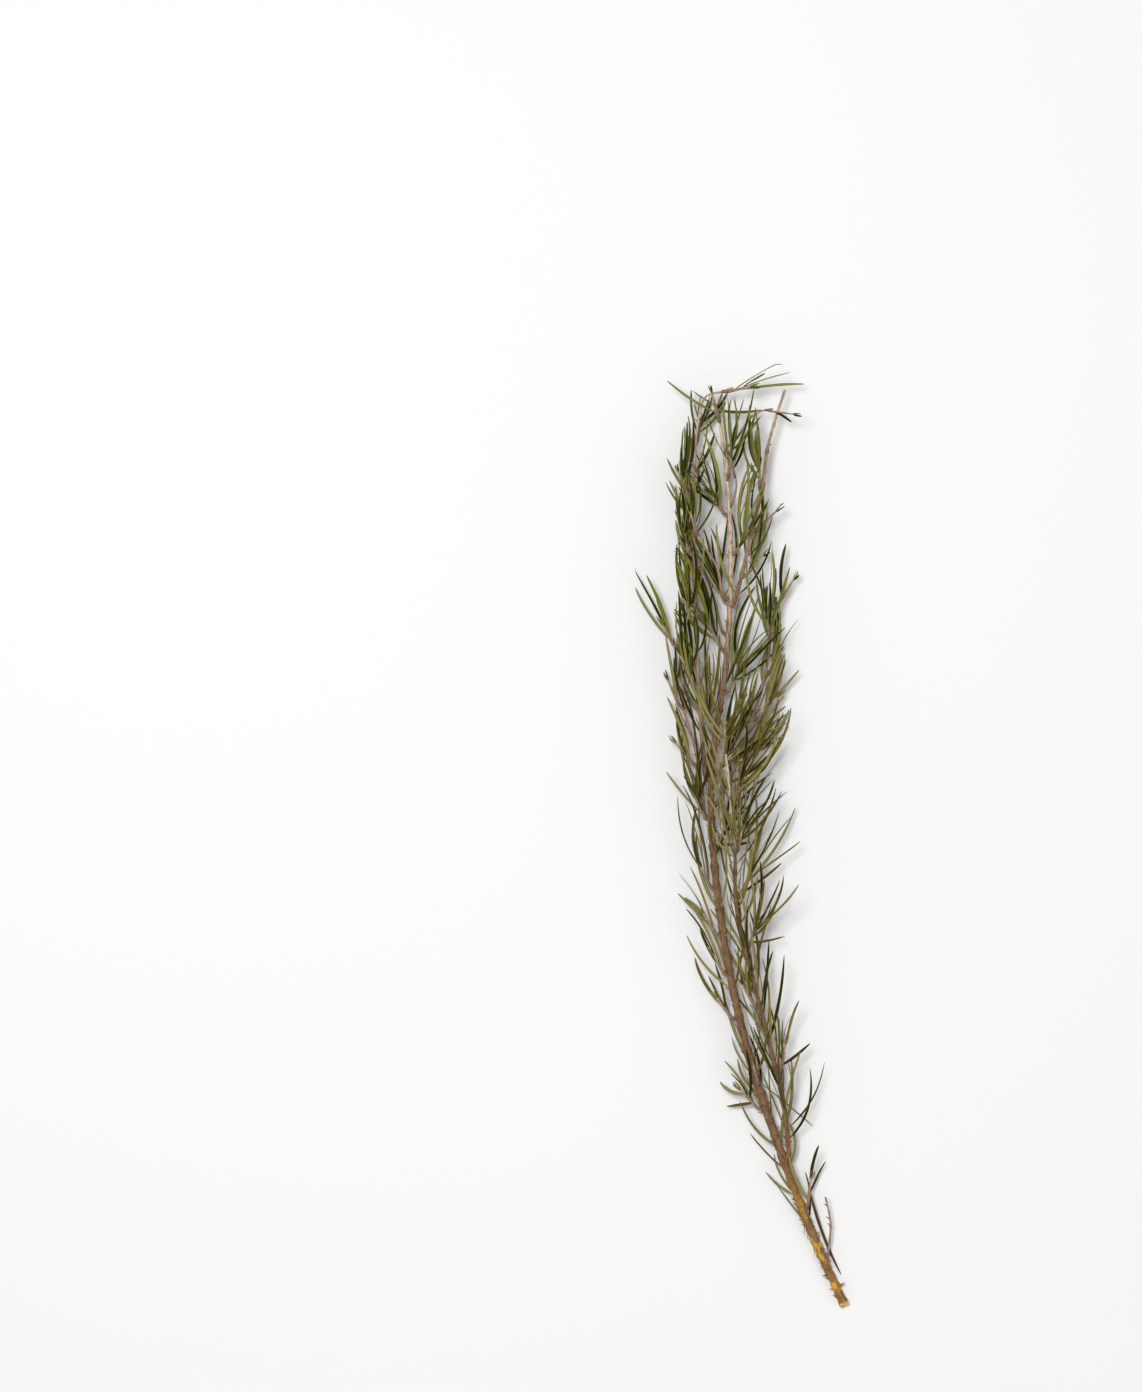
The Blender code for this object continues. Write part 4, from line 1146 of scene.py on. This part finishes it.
STUBS = {"main_stem": 150, "right_long_branch": 50, "left_long_branch": 22, "upper_right_branch": 5,
         "right_middle_branch": 14, "left_thin_branch": 12, "lower_dry_twig": 4, "middle_dry_twig": 3}
STUB_START = 0.01                    # pegs sit from this share of their stem on
STUB_REACH = 0.9                     # and over this share of it
STUB_CROWDING = 1.4                  # higher crowds them towards the foot
STUB_SINK = 0.8                      # where in the stem a peg starts, as a share of its radius
STUB_LEAN = (0.1, 1.4)               # how far it leans along the stem
STUB_SIZE = (0.35, 1.0)
STUB_FOOT_SIZE = 0.6                 # how much larger pegs may be at the stem's foot
STUB_LOWEST = 0.9                    # no peg sits lower than this above the table

FIBRES = 110
FIBRE_SIDES = 5
FIBRE_POINTS = 8
FIBRE_START = 0.05                   # fibres sit from this share of the main stem on
FIBRE_REACH = 0.5                    # and over this share of it
FIBRE_CROWDING = 1.6                 # higher crowds them towards the foot
FIBRE_DIP = 0.4                      # how far below the middle of the stem's side they sit, in radians
FIBRE_SINK = 0.92                    # where in the stem a fibre starts, as a share of its radius
FIBRE_LENGTH = (1.5, 5.0)
FIBRE_LIFT = (0.1, 1.2)              # how far its loose end stands off the stem
FIBRE_SWING = 1.0                    # how far that end may go sideways
FIBRE_RADIUS = (0.07, 0.20)
FIBRE_TAPER = 0.6                    # how much thinner its loose end is, as a share


def own(piece, slot_name, *nodes):
    """Make a finished piece part of the sprig."""
    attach(piece, "root")
    if nodes:
        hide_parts(*nodes)


def add_stem(name, stem, routes, material, shape):
    """One stem with its bark."""
    thick = stem["radius"][0] > THICK_STEM
    mesh = line_mesh(name, [fine_stem(name, stem, routes)], BARK_NUMBERS)
    return run_tree(name + "_bark", mesh, shape,
                    {"Sides": BARK_SIDES[thick], "Ridge": BARK_RIDGES[thick], "Material": material})


def add_blades(rng, name, shoot, material, shape):
    """The leaves of a leafy shoot, with the unopened ones at its tip."""
    lines = [leaf_line(rng, leaf, leaf_age(rng, leaf.foot)) for leaf in shoot["leaves"]]
    tip = shoot["foot"] + shoot["direction"] * shoot["length"]
    for number in range(BUD_LEAVES):
        bud = bud_leaf(rng, shoot, tip, number * math.tau / BUD_LEAVES)
        lines.append(leaf_line(rng, bud, leaf_age(rng, tip)))
    mesh = line_mesh(name, lines, LEAF_NUMBERS, ("face",))
    return run_tree(name + "_blades", mesh, shape, {"Material": material})


def add_single_leaves(rng, clearing, routes, materials, shape):
    """Leaves that grow straight from a stem, in pairs, wherever there is room for them."""
    owner = SINGLE_FIRST_OWNER
    for number, (name, first, last, pairs, length) in enumerate(SINGLE_STRETCHES, start=1):
        route = routes[name]
        lines = []
        for pair in range(pairs):
            share = first + (last - first) * (pair + rng.uniform(-0.3, 0.3)) / pairs
            turn = rng.uniform(0.0, math.tau)
            for side in (0.0, math.pi):
                leaf = single_leaf(rng, clearing, owner, name, route, share, turn + side, length)
                owner += 1
                if leaf is not None:
                    lines.append(leaf_line(rng, leaf, leaf_age(rng, leaf.foot)))
        slot_name = "green_leaf" if route.at(0.5 * (first + last))[1] > GREEN_FROM_Y else "dry_leaf"
        mesh = line_mesh(name, lines, LEAF_NUMBERS, ("face",))
        piece = run_tree(f"{name}_single_blades_{number}", mesh, shape, {"Material": materials[slot_name]})
        own(piece, slot_name)


def single_leaf(rng, clearing, owner, name, route, share, azimuth, length):
    """One leaf from the side of a stem, clear of the rest beyond its own foot."""
    direction = route.along(share)
    sunk = stem_radius(STEMS[name], share) * SINGLE_SINK
    for attempt in range(SINGLE_TRIES):
        turn = azimuth + rng.uniform(-SINGLE_TURN_STEP, SINGLE_TURN_STEP) * attempt
        foot = route.at(share) + outward_from(direction, turn) * sunk
        shrink = 1.0 - SINGLE_SHRINK * attempt / SINGLE_TRIES
        leaf = random_leaf(rng, foot, direction, turn, length * shrink)
        points, radii, _ = leaf.balls()
        beyond = np.linalg.norm(points - foot, axis=1) > SINGLE_FOOT
        if not inside_outline(leaf, SINGLE_OUTLINE, SINGLE_TOP) or clearing.covers_stem(points):
            continue
        if clearing.is_free(owner, points[beyond], radii[beyond] * SINGLE_ROOM):
            clearing.add(owner, points, radii)
            return leaf
    return None


def add_stubs(rng, routes, material, shape):
    """Pegs where leaves have dropped: crowded on the old wood, few higher up."""
    points = []
    outs = []
    sizes = []
    tints = []
    for name, count in STUBS.items():
        route = routes[name]
        for _ in range(count):
            share = rng.random() ** STUB_CROWDING * STUB_REACH + STUB_START
            direction = route.along(share)
            outward = outward_from(direction, rng.uniform(0.0, math.tau))
            spot = route.at(share) + outward * stem_radius(STEMS[name], share) * STUB_SINK
            if spot[2] < STUB_LOWEST:
                continue
            points.append(spot)
            outs.append(unit(outward + direction * rng.uniform(*STUB_LEAN)))
            sizes.append(rng.uniform(*STUB_SIZE) + rng.uniform(0.0, STUB_FOOT_SIZE) * (1.0 - share) ** 2)
            tints.append(rng.random())
    mesh = point_mesh("stub_points", points, [], {"size": sizes, "tint": tints}, {"out": outs})
    own(run_tree("dropped_leaf_stubs", mesh, shape, {"Material": material}), "old_wood")


def add_fibres(rng, route, material, shape):
    """Thin strips of bark that have come loose along the old wood."""
    lines = []
    shares = np.linspace(0.0, 1.0, FIBRE_POINTS)
    for _ in range(FIBRES):
        share = FIBRE_START + rng.random() ** FIBRE_CROWDING * FIBRE_REACH
        direction = route.along(share)
        outward = outward_from(direction, rng.uniform(-FIBRE_DIP, math.pi + FIBRE_DIP))
        across = np.cross(outward, direction)
        start = route.at(share) + outward * stem_radius(STEMS["main_stem"], share) * FIBRE_SINK
        length = rng.uniform(*FIBRE_LENGTH)
        way = direction * rng.choice((-1.0, 1.0))
        lift = rng.uniform(*FIBRE_LIFT)
        swing = rng.uniform(-FIBRE_SWING, FIBRE_SWING)
        bend = outward * lift + across * swing
        points = [start + way * length * s + bend * s * s for s in shares]
        line = stem_line(points, rng.uniform(*FIBRE_RADIUS) * (1.0 - FIBRE_TAPER * shares))
        line["tint"] = np.full(len(shares), rng.random())
        line["along"] = shares
        lines.append(line)
    mesh = line_mesh("fibres", lines, (*BARK_NUMBERS, "tint", "along"))
    settings = {"Sides": FIBRE_SIDES, "Ridge": 0.0, "Material": material}
    own(run_tree("loose_bark_fibres", mesh, shape, settings), "old_wood")


def add_sprig():
    """Every piece of the sprig, in its own place and looks."""
    materials = {name: leaf_material(name, *colours) for name, colours in LEAF_COLOURS.items()}
    for name, colours in BARK_COLOURS.items():
        materials[name] = bark_material(name, *colours)
    torn_fibre = fibre_material("torn_fibre", *FIBRE_COLOURS)
    leaf_shape = leaf_tree()
    bark_shape = bark_tree()
    routes, shoots, clearing = grow_sprig()
    rng = random.Random(LOOKS_SEED)
    slots = {part["node"]: part["material_slot"] for part in frame["record"]["subparts"]}

    for name, stem in STEMS.items():
        own(add_stem(name, stem, routes, materials[slots[name]], bark_shape), slots[name], name)
    twigs = {}
    for name, shoot in shoots.items():
        own(add_blades(rng, name, shoot, materials[slots[name]], leaf_shape), slots[name], name)
        twigs.setdefault(stem_of(name), []).append(twig_line(name, shoot, routes))
    settings = {"Sides": TWIG_SIDES, "Ridge": BARK_RIDGES[0], "Material": materials["young_wood"]}
    for name, lines in twigs.items():
        mesh = line_mesh(name, lines, BARK_NUMBERS)
        own(run_tree(name + "_twigs", mesh, bark_shape, settings), "young_wood")
    add_single_leaves(rng, clearing, routes, materials, leaf_shape)
    add_stubs(rng, routes, torn_fibre, stub_tree())
    add_fibres(rng, routes["main_stem"], torn_fibre, bark_shape)


# ---- Table, lights and camera. Lengths are in metres.

TABLE_HALF = 3.0
WORLD_LIGHT = 0.48
LIGHTS = (               # a name, its place, its size and its power; each is turned to the middle
    ("window_light", (-0.26, 0.24, 1.25), 0.32, 11.3),
    ("fill_light", (0.8, -0.5, 0.9), 0.9, 2.0),
)
SENSOR = 36.0            # in millimetres
VIEW_LENGTH = 0.4176     # length of table seen along the long side
VIEW_DISTANCE = 1.2
VIEW_HEIGHT = 0.009      # height above the table at which that length is measured
VIEW_CENTRE = (-0.0514, 0.0423)


def add_table():
    """The pale surface that the sprig lies on."""
    mesh = bpy.data.meshes.new("table")
    corners = [(x * TABLE_HALF, y * TABLE_HALF, 0.0) for x, y in ((-1, -1), (1, -1), (1, 1), (-1, 1))]
    mesh.from_pydata(corners, [], [(0, 1, 2, 3)])
    table = bpy.data.objects.new("table", mesh)
    mesh.materials.append(table_material())
    bpy.context.collection.objects.link(table)


def light_scene():
    """Even light from all round, and soft square lights from above."""
    world = bpy.data.worlds.new("studio")
    world.use_nodes = True
    background = world.node_tree.nodes["Background"]
    background.inputs["Color"].default_value = (1.0, 1.0, 1.0, 1.0)
    background.inputs["Strength"].default_value = WORLD_LIGHT
    bpy.context.scene.world = world
    for name, place, size, energy in LIGHTS:
        lamp = bpy.data.lights.new(name, "AREA")
        lamp.size = size
        lamp.energy = energy
        light = bpy.data.objects.new(name, lamp)
        light.location = place
        light.rotation_mode = "QUATERNION"
        light.rotation_quaternion = (-Vector(place)).to_track_quat("-Z", "Y")
        bpy.context.collection.objects.link(light)
    bpy.context.scene.view_settings.view_transform = "Standard"


def add_camera():
    """Straight above the table, as far off as shows the whole sprig to the right of the middle."""
    lens = bpy.data.cameras.new("camera")
    lens.lens = SENSOR * VIEW_DISTANCE / VIEW_LENGTH
    lens.sensor_width = SENSOR
    camera = bpy.data.objects.new("camera", lens)
    camera.location = (*VIEW_CENTRE, VIEW_DISTANCE + VIEW_HEIGHT)
    bpy.context.collection.objects.link(camera)
    bpy.context.scene.camera = camera


add_sprig()
add_table()
light_scene()
add_camera()
